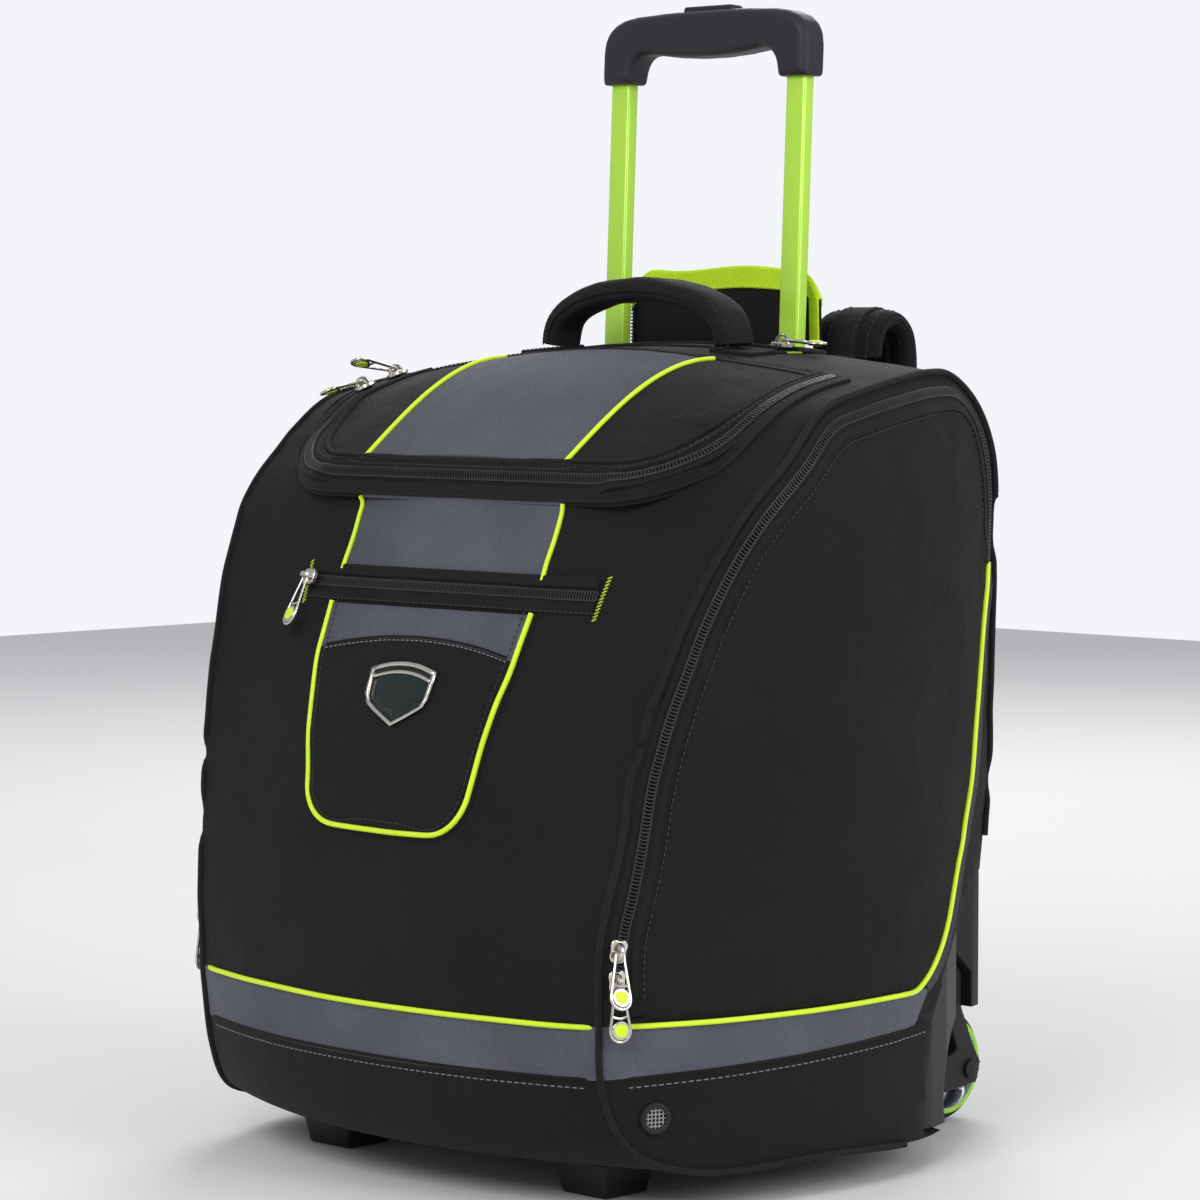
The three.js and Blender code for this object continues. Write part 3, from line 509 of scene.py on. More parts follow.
# The wrap's outline, (Y, Z), in the middle plane and at the welt, up the front and down the back.
OUTLINE = (
    ((-156, BASE + 1), (-102, BASE + 1)),
    ((-180, 30), (-137, 31)),
    ((-189, 62), (-154, 68)),
    ((-190, 108), (-157, BAND_TOP)),
    ((-180, 165), (-158, 160)),
    ((-163, 232), (-148, 215)),
    ((-147, 300), (-138, 274)),
    ((-121, 360), (-112, 358)),
    ((-99, 420), (-76, 420)),
    ((-91, 448), (-44, 450)),
    ((-62, 474), (-6, 482)),
    ((-10, 503), (30, 492)),
    ((40, 517), (70, 499)),
    ((100, 520), (120, 504)),
    ((150, 517), (155, 501)),
    ((182, 500), (181, 480)),
    ((194, 465), (189, 440)),
    ((198, 380), (190, 380)),
    ((199, 240), (190, 240)),
    ((196, 110), (184, 100)),
    ((190, 45), (176, 45)),
    ((168, BASE), (152, BASE + 1)),
    ((0, BASE), (0, BASE)),
)
AROUND, ACROSS, SIDE_RINGS = 200, 56, 26
SIDE_BULGE = 3
SIDE_Y, SIDE_Z = 10, 250  # where a side panel stands out furthest


def closed_curve(points, count):
    """count points on the centripetal Catmull-Rom curve through a closed run of points."""

    def between(a, b, start, end):
        return a + (b - a) * ((t - start) / (end - start))

    result = []
    for k in range(count):
        at = k * len(points) / count
        i = int(at)
        p0, p1, p2, p3 = (Vector(points[(i + j) % len(points)]) for j in (-1, 0, 1, 2))
        t1 = math.sqrt((p1 - p0).length)
        t2 = t1 + math.sqrt((p2 - p1).length)
        t3 = t2 + math.sqrt((p3 - p2).length)
        t = t1 + (at - i) * (t2 - t1)
        a1, a2, a3 = between(p0, p1, 0, t1), between(p1, p2, t1, t2), between(p2, p3, t2, t3)
        b1, b2 = between(a1, a2, 0, t2), between(a2, a3, t1, t3)
        result.append(tuple(between(b1, b2, t1, t2)))
    return result


MIDDLE = closed_curve([row[0] for row in OUTLINE], AROUND)
WELT = closed_curve([row[1] for row in OUTLINE], AROUND)


def welt_x(y, z):
    """Half the bag's width at its side welts."""
    barrel = 0.0014 * (y - 30) ** 2
    shoulder = 0.0032 * max(z - 410, 0) ** 2
    return 235 + 0.04 * (z - 200) - barrel - shoulder


def smoothstep(low, high, value):
    """0 below low, 1 above high, and a soft rise between."""
    t = min(1, max(0, (value - low) / (high - low)))
    return t * t * (3 - 2 * t)


def folds(p):
    """How far the cloth stands off its smooth form: dents and creases that die out at base and top."""
    x, y, z = p
    slow = noise.noise(Vector((x, y, z)) * 0.0105)
    crease = 1 - abs(noise.noise(Vector((x * 0.012 + 7, y * 0.014, z * 0.024 + x * 0.008)))) * 2
    small = noise.noise(Vector((x, y, z)) * 0.045)
    fade = smoothstep(20, 110, z) * (1 - 0.7 * smoothstep(470, 505, z))
    return (slow * 2.6 + max(crease, 0) ** 3 * 1.3 + small * 0.45) * fade


def skin(offset, material="body"):
    """The whole closed cloth body, moved outwards by offset."""
    vertices, faces = [], []
    for (my, mz), (wy, wz) in zip(MIDDLE, WELT):
        for i in range(ACROSS + 1):
            u = math.sin(math.pi / 2 * (2 * i / ACROSS - 1))
            vertices.append((u * welt_x(wy, wz), my + u * u * (wy - my), mz + u * u * (wz - mz)))
    row = ACROSS + 1
    for k in range(AROUND):
        a, b = k * row, (k + 1) % AROUND * row
        faces += [(a + i, b + i, b + i + 1, a + i + 1) for i in range(ACROSS)]
    for sign, edge in ((-1, 0), (1, ACROSS)):
        ring = [k * row + edge for k in range(AROUND)]
        for r in range(1, SIDE_RINGS):
            share = 1 - (r / SIDE_RINGS) ** 1.3
            start = len(vertices)
            for wy, wz in WELT:
                y, z = SIDE_Y + (wy - SIDE_Y) * share, SIDE_Z + (wz - SIDE_Z) * share
                vertices.append((sign * (welt_x(y, z) + SIDE_BULGE * (1 - share**3)), y, z))
            inner = [start + k for k in range(AROUND)]
            faces += [(ring[k - 1], ring[k], inner[k], inner[k - 1]) for k in range(AROUND)]
            ring = inner
        vertices.append((sign * (welt_x(SIDE_Y, SIDE_Z) + SIDE_BULGE), SIDE_Y, SIDE_Z))
        faces += [(ring[k - 1], ring[k], len(vertices) - 1) for k in range(AROUND)]
    piece = outward(new_object("skin", vertices, faces, material))
    return displaced(piece, lambda place: folds(to_datum(place)) + offset)


# ---------------------------------------------------------------- the lid's and the doors' areas


def rim_height(y):
    """The height of the lid's zip."""
    along = y - LID_FRONT
    return 436 + 0.51 * along - 0.00092 * along**2


def lid_top(x, y):
    """The height of the lid's upper face: rising to the back, and lower towards the flanks."""
    along = min(1, max(0, (y - LID_FRONT) / 135))
    return 452 + 67 * math.sin(along * math.pi / 2) - 27 * (x / LID_HALF) ** 2


def corner_arc(cx, cy, radius, start, end, steps=14):
    """Points on an arc between two angles in degrees."""
    angles = [math.radians(a) for a in spread(start, end, steps)]
    return [(cx + radius * math.cos(a), cy + radius * math.sin(a)) for a in angles]


def lid_plan(inset, rear, flank_inset=None):
    """The lid from above: round front corners, and flanks that may stand further in behind LID_FLANK."""
    cx, cy, radius = LID_HALF - LID_CORNER, LID_FRONT + LID_CORNER, LID_CORNER - inset
    half = LID_HALF - inset
    rear_half = half if flank_inset is None else LID_HALF - flank_inset
    right = corner_arc(cx, cy, radius, -90, 0)
    right += [(half, LID_FLANK), (rear_half, LID_FLANK + 0.1), (rear_half, rear)]
    return right + mirrored(right)


def slab(inset):
    """The lid's own box, which stands out from the body like the peak of a cap."""
    piece = prism(lid_plan(inset, LID_HINGE + 10 - inset), "z", 0, 1)
    bm = bmesh.new()
    bm.from_mesh(piece.data)
    bmesh.ops.triangulate(bm, faces=[f for f in bm.faces if len(f.verts) > 4])
    long_edges = [e for e in bm.edges if e.calc_length() > 0.02]
    bmesh.ops.subdivide_edges(bm, edges=long_edges, cuts=12, use_grid_fill=True)
    for vertex in bm.verts:
        x, y, level = to_datum(vertex.co)
        low = rim_height(y) - LID_SKIRT + min(inset, 1)
        vertex.co = to_world((x, y, lid_top(x, y) - inset if level > 0.5 else low))
    bm.to_mesh(piece.data)
    bm.free()
    return piece


def lid_region(inset, rear):
    """Everything above the rim and inside the lid's plan, drawn in by inset, as far back as rear."""
    side = [(y, rim_height(y) + inset) for y in spread(-200, rear, 30)] + [(rear, 700), (-200, 700)]
    plan = prism(lid_plan(-1.5, rear, inset), "z", 300, 650)
    return boolean(prism(side, "x", -300, 300), plan, "INTERSECT")


DOOR_SEAM = ((176, 380), (154, 240), (136, 170), (118, 127), (92, BAND_TOP + 2))
# An outline runs clockwise, so moving it to the right draws it in.
DOOR_EDGE = [
    (y, z)
    for y, z in shifted(WELT, -SEAM_ALLOWANCE)[: int(AROUND * 0.8)]
    if z > BAND_TOP + 6 and (y < 0 or z > 400)
] + list(DOOR_SEAM)
DOOR_OUTLINE = [*DOOR_EDGE, (DOOR_EDGE[0][0], BAND_TOP + 2)]


def door_region(sign, zipped, sewn):
    """A side door's area, drawn in by one distance where it unzips and by another where it is sewn."""

    def door(inset):
        x0, x1 = sorted((sign * 165, sign * 320))
        return prism(shifted(DOOR_OUTLINE, -inset), "x", x0, x1)

    low = boolean(door(sewn), box(-330, 330, -130, 240, 0, 150), "INTERSECT")
    rear = boolean(door(sewn), box(-330, 330, 60, 240, 0, 425), "INTERSECT")
    return boolean(boolean(door(zipped), low, "UNION"), rear, "UNION")


def whole_cloth():
    """The body, lid and doors in one hollow piece, before they are cut apart."""
    outer_form = boolean(skin(0), slab(0), "UNION")
    inner_form = boolean(skin(-WALL, "lining"), slab(WALL), "UNION")
    return boolean(outer_form, inner_form, "DIFFERENCE")


def finish_piece(piece, name, body, slot, *replaced):
    """Names a piece, hands it to its CAD body, if it has just one, and hides the nodes it stands for."""
    piece.name = name
    piece.data.name = name
    if body:
        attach(piece, body)
    if replaced:
        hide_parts(*replaced)
    return piece


def body_cloth(cloth):
    """The cloth less the lid, the doors and the wheel housings."""
    shell = copy_of(cloth)
    boolean(shell, lid_region(ZIP_MIDDLE - 0.3, LID_HINGE), "DIFFERENCE")
    for _, sign in SIDES:
        boolean(shell, door_region(sign, ZIP_MIDDLE - 0.3, 0.2), "DIFFERENCE")
        well = prism(shifted(HOUSING_OUTLINE, GAP), "x", *sorted((sign * HOUSING_INNER, sign * 300)))
        boolean(shell, well, "DIFFERENCE")
    finish_piece(shell, "bag_cloth", "bag", "black_fabric", "body_shell")


def lid_cloth(cloth):
    """The part of the cloth that hinges up as the lid."""
    region = lid_region(ZIP_MIDDLE + 0.3, LID_HINGE - 0.4)
    lid = boolean(copy_of(cloth), region, "INTERSECT")
    for i in (0, 1):
        lid.data.materials[i] = MATERIALS["lid"]
    finish_piece(lid, "lid_cloth", "lid_flap", "black_fabric", "lid")


def door_cloth(cloth, side, sign):
    """The part of the cloth that folds out as a side door."""
    region = door_region(sign, ZIP_MIDDLE + 0.3, 0.6)
    door = boolean(copy_of(cloth), region, "INTERSECT")
    door.data.materials[0] = MATERIALS["black"]
    finish_piece(door, f"{side}_door_cloth", f"{side}_side_door", "black_fabric", f"{side}_door")


# ---------------------------------------------------------------- lines that follow the cloth


def tree_of(piece):
    """A piece's faces, ready for finding points on them."""
    bm = bmesh.new()
    bm.from_mesh(piece.data)
    tree = BVHTree.FromBMesh(bm)
    bm.free()
    return tree


def cast(origin, direction):
    """Where a line meets the cloth, and the cloth's normal there, in millimetres."""
    point, normal, _, _ = CLOTH.ray_cast(Vector(to_world(origin)), Vector(direction).normalized())
    return to_datum(point), normal


def front(x, z):
    return cast((x, -400, z), (0, 1, 0))


def side_at(sign, y, z):
    return cast((sign * 400, y, z), (-sign, 0, 0))


def top(x, y):
    return cast((x, y, 700), (0, 0, -1))


def back(x, z):
    return cast((x, 500, z), (0, -1, 0))


def even(stations, pitch, closed=False):
    """Stations at an even pitch along a run of (point, normal) stations."""
    run = list(stations) + ([stations[0]] if closed else [])
    lengths = [0.0]
    for (p, _), (q, _) in zip(run, run[1:]):
        lengths.append(lengths[-1] + (q - p).length)
    count = max(2, round(lengths[-1] / pitch))
    result, i = [], 0
    for k in range(count + (0 if closed else 1)):
        at = lengths[-1] * k / count
        while i < len(run) - 2 and lengths[i + 1] < at:
            i += 1
        share = (at - lengths[i]) / max(lengths[i + 1] - lengths[i], 1e-6)
        (p, n), (q, m) = run[i], run[i + 1]
        result.append((p.lerp(q, share), n.lerp(m, share).normalized()))
    return result


def smoothed(stations, passes=2, closed=False):
    """The same stations with small kinks in their place and direction averaged out."""
    for _ in range(passes):
        last = len(stations) - 1
        fresh = []
        for i, (p, n) in enumerate(stations):
            if not closed and i in (0, last):
                fresh.append((p, n))
                continue
            (a, u), (b, v) = stations[i - 1], stations[(i + 1) % len(stations)]
            fresh.append((p * 0.5 + (a + b) * 0.25, (n * 0.5 + (u + v) * 0.25).normalized()))
        stations = fresh
    return stations


def axes(stations, i, closed=False):
    """Across, along and out at a station."""
    last = len(stations) - 1
    before = stations[i - 1] if closed or i > 0 else stations[i]
    after = stations[(i + 1) % len(stations)] if closed or i < last else stations[i]
    along = (after[0] - before[0]).normalized()
    across = along.cross(stations[i][1]).normalized()
    return across, along, across.cross(along)


def sweep(stations, section, material, closed=False, smooth=40):
    """A closed section, (across, out), carried along stations."""
    n = len(section)
    vertices, faces = [], []
    for i, (point, _) in enumerate(stations):
        across, _, out = axes(stations, i, closed)
        vertices += [point + across * a + out * o for a, o in section]
    rings = len(stations)
    for i in range(rings if closed else rings - 1):
        a, b = i * n, (i + 1) % rings * n
        faces += [(a + j, a + (j + 1) % n, b + (j + 1) % n, b + j) for j in range(n)]
    if not closed:
        faces += [tuple(range(n)), tuple(range(rings * n - 1, (rings - 1) * n - 1, -1))]
    return outward(new_object("sweep", vertices, faces, material, smooth))


def circle(radius, lift=0.0, sides=10, shift=0.0):
    """A round section or outline, its middle shifted across and lifted out."""
    angles = (2 * math.pi * i / sides for i in range(sides))
    return [(shift + radius * math.cos(a), lift + radius * math.sin(a)) for a in angles]


def strip(low, high, thickness, sink=0.6):
    """A flat strip's section between two distances across, with soft upper edges."""
    soft = min(thickness * 0.5, 0.8)
    return [
        (low, -sink),
        (low, thickness - soft),
        (low + soft, thickness),
        (high - soft, thickness),
        (high, thickness - soft),
        (high, -sink),
    ]


def repeated(stations, size, material, shift=0.0, lift=0.0, slant=0.0, arch=0.35):
    """A small rounded bar at each station: size is (across, along, out)."""
    a, b, c = (s / 2 for s in size)
    profile = ((-1, -1), (1, -1), (1, arch), (1 - arch, 1), (arch - 1, 1), (-1, arch))
    sides = range(len(profile))
    vertices, faces = [], []
    for i, (point, _) in enumerate(stations):
        across, along, out = axes(stations, i)
        start = len(vertices)
        for end in (-1, 1):
            for u, v in profile:
                x, y, z = shift + end * a, u * b + end * slant, lift + v * c
                vertices.append(point + across * x + along * y + out * z)
        near = [start + j for j in sides]
        far = [start + len(profile) + j for j in sides]
        faces += [(near[j - 1], near[j], far[j], far[j - 1]) for j in sides]
        faces += [tuple(reversed(near)), tuple(far)]
    return outward(new_object("bars", vertices, faces, material, smooth=50))


def joined(*pieces):
    """Several meshes as one, each face keeping its material."""
    with bpy.context.temp_override(active_object=pieces[0], selected_editable_objects=pieces):
        bpy.ops.object.join()
    return pieces[0]


def zip_row(stations, sign):
    """One side's coil and tape. sign is the side of the zip's middle that it stands on."""
    teeth = repeated(even(stations, TOOTH_PITCH), (3.1, 1.35, 1.9), "coil", sign * 1.35, 0.75, sign * 0.35)
    cord = sweep(stations, circle(0.75, 0.9, 8, sign * 2.9), "coil")
    tape = sweep(stations, strip(*sorted((sign * 0.4, sign * 8.5)), 0.35, sink=1.2), "tape")
    return [teeth, cord, tape]


def stitch(stations, material="thread", shift=0.0, lift=0.25, pitch=4.2, length=2.7):
    """A row of stitches."""
    return repeated(even(stations, pitch), (0.65, length, 0.65), material, shift, lift, arch=0.3)


def piping(stations, radius, material="piping", lift=0.9):
    """A round cord sewn into a seam."""
    return sweep(stations, circle(radius, lift), material)


# ---------------------------------------------------------------- zips

# The lid's edge from above, from the right side's rear end round the front to the left side's.
LID_LINE = [(LID_HALF, LID_HINGE - 1), (LID_HALF, LID_FLANK)]
LID_LINE += corner_arc(LID_HALF - LID_CORNER, LID_FRONT + LID_CORNER, LID_CORNER, 0, -90, 20)
LID_LINE += mirrored(LID_LINE)


def lid_edge(inset):
    """Stations along the lid's U-shaped edge: on its upright face in front, on its top at the flanks."""
    plan = even([(Vector((x, y, 0)), Vector((0, 0, 1))) for x, y in LID_LINE], 6)
    stations = []
    for i, (point, _) in enumerate(plan):
        a, b = plan[max(i - 1, 0)][0], plan[min(i + 1, len(plan) - 1)][0]
        facing = Vector(((a - b).y, (b - a).x, 0)).normalized()
        if point.y < LID_NOSE:
            stations.append(cast((*(point + facing * 70).xy, rim_height(point.y) + inset), -facing))
        elif point.y > LID_FLAT:
            stations.append(top(*(point - facing * (inset + 0.8)).xy))
    return settled(smoothed(even(stations, 4), 6))


def settled(stations):
    """The same stations moved to the nearest place on the cloth, then smoothed a little."""
    found = [CLOTH.find_nearest(Vector(to_world(p))) for p, _ in stations]
    return smoothed([(to_datum(f[0]), f[1]) for f in found], 3)


def door_line(sign, inset, low):
    """Stations just inside a side door's edge, from height low up the front and over the top."""
    line = shifted(DOOR_OUTLINE, -inset)[: len(DOOR_EDGE) - len(DOOR_SEAM)]
    line = [(y, z) for y, z in line if z > low] + [DOOR_SEAM[0]]
    return smoothed(even([side_at(sign, y, z) for y, z in line], 4), 2)


def lid_zip():
    """The lid's chain, the piped lip over it on the lid, and the faced edge under it on the body."""
    line = lid_edge(ZIP_MIDDLE)
    body_row = joined(*zip_row(line, 1))
    finish_piece(body_row, "lid_zip_body_row", "bag", "zip_plastic", "lid_zip_chain")
    lid_row = joined(*zip_row(line, -1))
    finish_piece(lid_row, "lid_zip_lid_row", "lid_flap", "zip_plastic")
    lip = sweep(lid_edge(ZIP_MIDDLE + 6), strip(-3.4, 3.2, 1.6), "tape")
    bead = sweep(lid_edge(ZIP_MIDDLE + 9.5), circle(1.9, 0.6, 10), "webbing")
    seam = stitch(lid_edge(ZIP_MIDDLE + 5.5), "black_thread", lift=1.9)
    finish_piece(joined(lip, bead, seam), "lid_lip", "lid_flap", "black_fabric")
    peak = sweep(lid_edge(-6.5), strip(-4.2, 4.2, 1.5), "tape")
    welt = sweep(lid_edge(-10.5), circle(1.5, 0.8, 10), "webbing")
    finish_piece(joined(peak, welt), "lid_zip_facing", "bag", "black_fabric")


def door_zip(side, sign):
    """A side door's chain, and the facing sewn along it on the door."""
    low = BAND_TOP + 14
    line = door_line(sign, ZIP_MIDDLE, low)
    body_row, door_row = (joined(*zip_row(line, s)) for s in (-sign, sign))
    finish_piece(body_row, f"{side}_door_zip_body_row", "bag", "zip_plastic", f"{side}_door_zip_chain")
    finish_piece(door_row, f"{side}_door_zip_door_row", f"{side}_side_door", "zip_plastic")
    facing = sweep(door_line(sign, ZIP_MIDDLE + 8.5, low), strip(-3, 3, 0.9), "tape")
    bead = sweep(door_line(sign, ZIP_MIDDLE + 11.5, low), circle(0.9, 0.5, 8), "black")
    seam = stitch(door_line(sign, ZIP_MIDDLE + 13.5, low), "black_thread")
    whole = joined(facing, bead, seam)
    finish_piece(whole, f"{side}_door_zip_facing", f"{side}_side_door", "black_fabric")


def pocket_zip():
    """The front pocket's chain between two welts, with a bar tack over each end."""

    def row(rise):
        return smoothed([front(x, POCKET_Z + rise) for x in spread(POCKET_LEFT, POCKET_RIGHT, 60)])

    tape = sweep(row(0), strip(-12, 10, 0.5), "tape")
    coil = [part for s in (-1, 1) for part in zip_row(row(0), s)]
    lip = sweep(row(8), strip(-3.6, 3.6, 2.2), "black")
    lower = sweep(row(-8.5), strip(-3, 3, 1.2), "black")
    seams = [stitch(row(11), "black_thread", lift=1), stitch(row(-10.5), "black_thread", lift=1)]
    ends = []
    for x, tilt in ((POCKET_RIGHT + 3, 3), (POCKET_LEFT - 2, -3)):
        line = even([front(x + tilt * t / 8, POCKET_Z - 14 + 3.2 * t) for t in range(9)], 2.4)
        ends.append(repeated(line, (2.6, 0.8, 0.9), "lime_thread", lift=0.7, slant=0.9))
    whole = joined(tape, *coil, lip, lower, *seams, *ends)
    finish_piece(whole, "pocket_zip", "bag", "zip_plastic", "pocket_zip_chain")


def garage_zip():
    """The chain of the tow handle's pocket, a welt before it, and a bar tack at each end."""
    line = smoothed([top(x, 110.5) for x in spread(-94, 100, 40)])
    rows = [part for s in (-1, 1) for part in zip_row(line, s)]
    edge = sweep(smoothed([top(x, 99) for x in spread(-98, 104, 40)]), strip(-3, 3, 1.4), "black")
    tacks = []
    for x in (-101, 103):
        tack = even([top(x, 104 + 1.4 * t) for t in range(9)], 1.3)
        tacks.append(repeated(tack, (3.4, 0.8, 0.9), "lime_thread", lift=0.9))
    finish_piece(joined(*rows, edge, *tacks), "garage_zip", "bag", "zip_plastic", "garage_zip_chain")


# ---------------------------------------------------------------- piping, seams and bands


def welt_stations(sign):
    """Stations along a side's welt, leaving out the stretch behind the wheel housing."""
    margin = 10
    front_y = min(y for y, _ in HOUSING_OUTLINE) - margin
    top_z = max(z for _, z in HOUSING_OUTLINE) + margin
    seen = [(y, z) for y, z in WELT if y < front_y or z > top_z]
    keep = [(Vector((sign * (welt_x(y, z) + 0.5), y, z)), Vector((sign, 0, 0))) for y, z in seen]
    start = next(i for i, (p, _) in enumerate(keep) if (p - keep[i - 1][0]).length > 30)
    return settled(even(keep[start:] + keep[:start], 4))


def wrap_round(height, y_end, rise=0.0):
    """Stations round the bag at a height, from y_end on the left, over the front, to y_end on the right."""
    steps = 60
    along = spread(y_end, BAND_CORNER, steps)
    right = [side_at(1, y, height + rise * (1 - i / steps)) for i, y in enumerate(along)]
    left = [side_at(-1, p.y, p.z) for p, _ in right]
    reach = welt_x(-157, height) - 6
    across = [front(x, height) for x in spread(-reach, reach, steps)]
    return smoothed(even(left + across + right[::-1], 4), 3)


def rear_seam(sign, shift=0.0):
    """Stations up the seam behind a side door."""
    ys = [p[0] + shift for p in DOOR_SEAM]
    zs = [p[1] for p in DOOR_SEAM]
    curve = smoothed(even([(Vector((0, y, z)), Vector((1, 0, 0))) for y, z in zip(ys, zs)], 6), 8)
    return [side_at(sign, p.y, p.z) for p, _ in reversed(curve)]


def band_piping():
    """One lime piping: round the front at the band's top, and at each side up the rear seam."""
    whole = rear_seam(-1)[::-1] + wrap_round(BAND_TOP, 88) + rear_seam(1)
    return piping(smoothed(even(whole, 4), 4), 1.75)


def trims():
    """The body's piping, welts and bands."""
    pieces = [band_piping()]
    lower = wrap_round(BAND_LOW, BAND_END, BAND_RISE)
    pieces.append(sweep(lower, strip(-0.6, 1.6, 0.8), "black"))
    pieces.append(stitch(wrap_round(BAND_LOW - 6, BAND_END, BAND_RISE), "thread", pitch=5, length=3.2))
    for _, sign in SIDES:
        pieces.append(piping(welt_stations(sign), 2.3, "webbing", lift=1.3))
        pieces.append(sweep(rear_seam(sign, 9), strip(-5.5, 5.5, 0.7), "grey_webbing"))
        heights = range(POCKET_Z + 8, 424, 3)
        strip_line = [front(sign * (STRIP_HALF + STRIP_FLARE * (z - 300)), z) for z in heights]
        pieces.append(piping(smoothed(strip_line), 1.6))
    finish_piece(joined(*pieces), "body_trims", "bag", "black_fabric")


def lid_trims():
    """Piping along the lid's middle strip, and a band over its rear seam."""
    pieces = []
    for _, sign in SIDES:
        ys = range(-93, 41, 3)
        line = [top(sign * (LID_STRIP_HALF + LID_STRIP_FLARE * (y + 100)), y) for y in ys]
        pieces.append(piping(smoothed(line), 1.6))
    across = smoothed([top(x, 44) for x in spread(-188, 188, 60)])
    pieces.append(sweep(across, strip(-3.5, 3.5, 0.9), "black"))
    pieces.append(stitch(across, "black_thread", shift=-2.2, lift=1.1))
    finish_piece(joined(*pieces), "lid_trims", "lid_flap", "black_fabric")


# ---------------------------------------------------------------- front pocket's tongue and badge


def tongue_outline(inset=0.0):
    """The tongue, (X, Z): wide at the zip, narrower below, with a round foot."""
    foot = corner_arc(46, 243, 28, 0, -90, 10)
    right = [(92 - inset, 354), (90.5 - inset, 320)] + [(x - inset * 0.8, z + inset * 0.4) for x, z in foot]
    right.append((20, 214.5 + inset))
    return right + mirrored(right)


def drawn(outline, place, pitch=4, closed=False):
    """Stations where a flat outline, resampled evenly, lies on the cloth."""
    flat = even([(Vector((*point, 0)), Vector((0, 0, 1))) for point in outline], pitch, closed)
    return smoothed([place(p.x, p.y) for p, _ in flat], 3, closed)


# The spans of Y that hold the bag's front and its back.
FRONT, BACK = (-300, -40), (100, 300)


def raised(outline, inner, outer, material, span=FRONT):
    """A panel between two distances off the bag's front or back."""
    layer = boolean(skin(outer, material), skin(inner, "lining"), "DIFFERENCE")
    return boolean(layer, prism(outline, "y", *span), "INTERSECT")


def smooth_outline(points, passes=2):
    """A closed outline with its corners cut, twice over."""
    for _ in range(passes):
        cut = []
        for (ax, ay), (bx, by) in zip(points, points[1:] + points[:1]):
            cut += [(ax + (bx - ax) * t, ay + (by - ay) * t) for t in (0.25, 0.75)]
        points = cut
    return points


def tongue():
    """The front pocket's panel, with piping round it and a seam between its black and grey."""
    panel = raised(tongue_outline(), 0.3, 2.6, "pocket")
    panel.data.materials[-1] = MATERIALS["pocket"]
    edge = drawn(tongue_outline(), front)
    rim = piping(edge, 1.8, lift=2.4)
    flange = sweep(edge, strip(-3.4, 3.4, 1.0), "black")
    seam_xs = spread(-84, 84, 40)
    seam_line = smoothed([front(x, POCKET_SEAM - POCKET_SEAM_BEND * x**2) for x in seam_xs])
    groove = sweep(seam_line, circle(0.9, 2.6, 8), "black")
    seam = stitch(seam_line, "thread", shift=2.6, lift=2.8)
    inner_seam = stitch(drawn(tongue_outline(6), front), "black_thread", lift=2.8)
    whole = joined(panel, rim, flange, groove, seam, inner_seam)
    finish_piece(whole, "pocket_tongue", "bag", "grey_fabric", "front_pocket_panel")


def crown_curve(half, height):
    """The badge's arched top, (X, Z), from left to right."""
    return [(half * (i / 6 - 1), height + 5 * (1 - (i / 6 - 1) ** 2)) for i in range(13)]


def badge_outline(scale=1.0):
    """A plain shield, (X, Z)."""
    right = [(29.6, 306), (28.6, 299), (26, 294), (18, 289.5), (9, 285), (0, 281)]
    points = crown_curve(30, 316) + right + mirrored(right[:-1])
    return [(x * scale, 300 + (z - 300) * (1 - (1 - scale) * 1.4)) for x, z in points]


def badge():
    """A metal shield round a dark field with one arched bar."""
    frame_ring = raised(badge_outline(), 2.4, 6.0, "nickel")
    boolean(frame_ring, prism(badge_outline(0.92), "y", *FRONT), "DIFFERENCE")
    field = raised(badge_outline(0.94), 2.4, 4.4, "enamel")
    bar = raised(crown_curve(28.6, 310.6) + crown_curve(28.6, 308.8)[::-1], 4.0, 5.6, "nickel")
    for part, material in ((frame_ring, "nickel"), (field, "enamel"), (bar, "nickel")):
        recoloured(part, material)
    finish_piece(joined(frame_ring, field, bar), "badge_plate", "bag", "nickel", "badge")


# ---------------------------------------------------------------- hard parts


def refined(node, material, bevel):
    """A CAD node's mesh with its edges eased, as a piece of its own."""
    piece = object_of(node, nodes[node].data.copy(), material)
    bm = bmesh.new()
    bm.from_mesh(piece.data)
    bmesh.ops.remove_doubles(bm, verts=bm.verts, dist=1e-6)
    bmesh.ops.dissolve_limit(bm, angle_limit=math.radians(1.5), verts=bm.verts, edges=bm.edges)
    bm.to_mesh(piece.data)
    bm.free()
    shade_smooth(piece.data, 35)
    eased(piece, bevel)
    shade_smooth(piece.data, 35)
    return piece


def hard_part(node, material, slot, bevel):
    """A CAD node that keeps its shape, with eased edges."""
    return finish_piece(refined(node, material, bevel), f"{node}_looks", BODY_OF[node], slot, node)


def moulded(node, material="moulding", slot="moulding", voxel=1.5, passes=3):
    """A CAD node's moulding with every edge softly rounded."""
    piece = object_of(node, nodes[node].data.copy(), material)
    remesh = piece.modifiers.new("even", "REMESH")
    remesh.mode = "VOXEL"
    remesh.voxel_size = voxel * MM
    soften = piece.modifiers.new("soften", "SMOOTH")
    soften.factor = 0.5
    soften.iterations = passes
    thin = piece.modifiers.new("thin", "DECIMATE")
    thin.ratio = 0.45
    apply_modifiers(piece)
    shade_smooth(piece.data)
    return finish_piece(piece, f"{node}_looks", BODY_OF[node], slot, node)


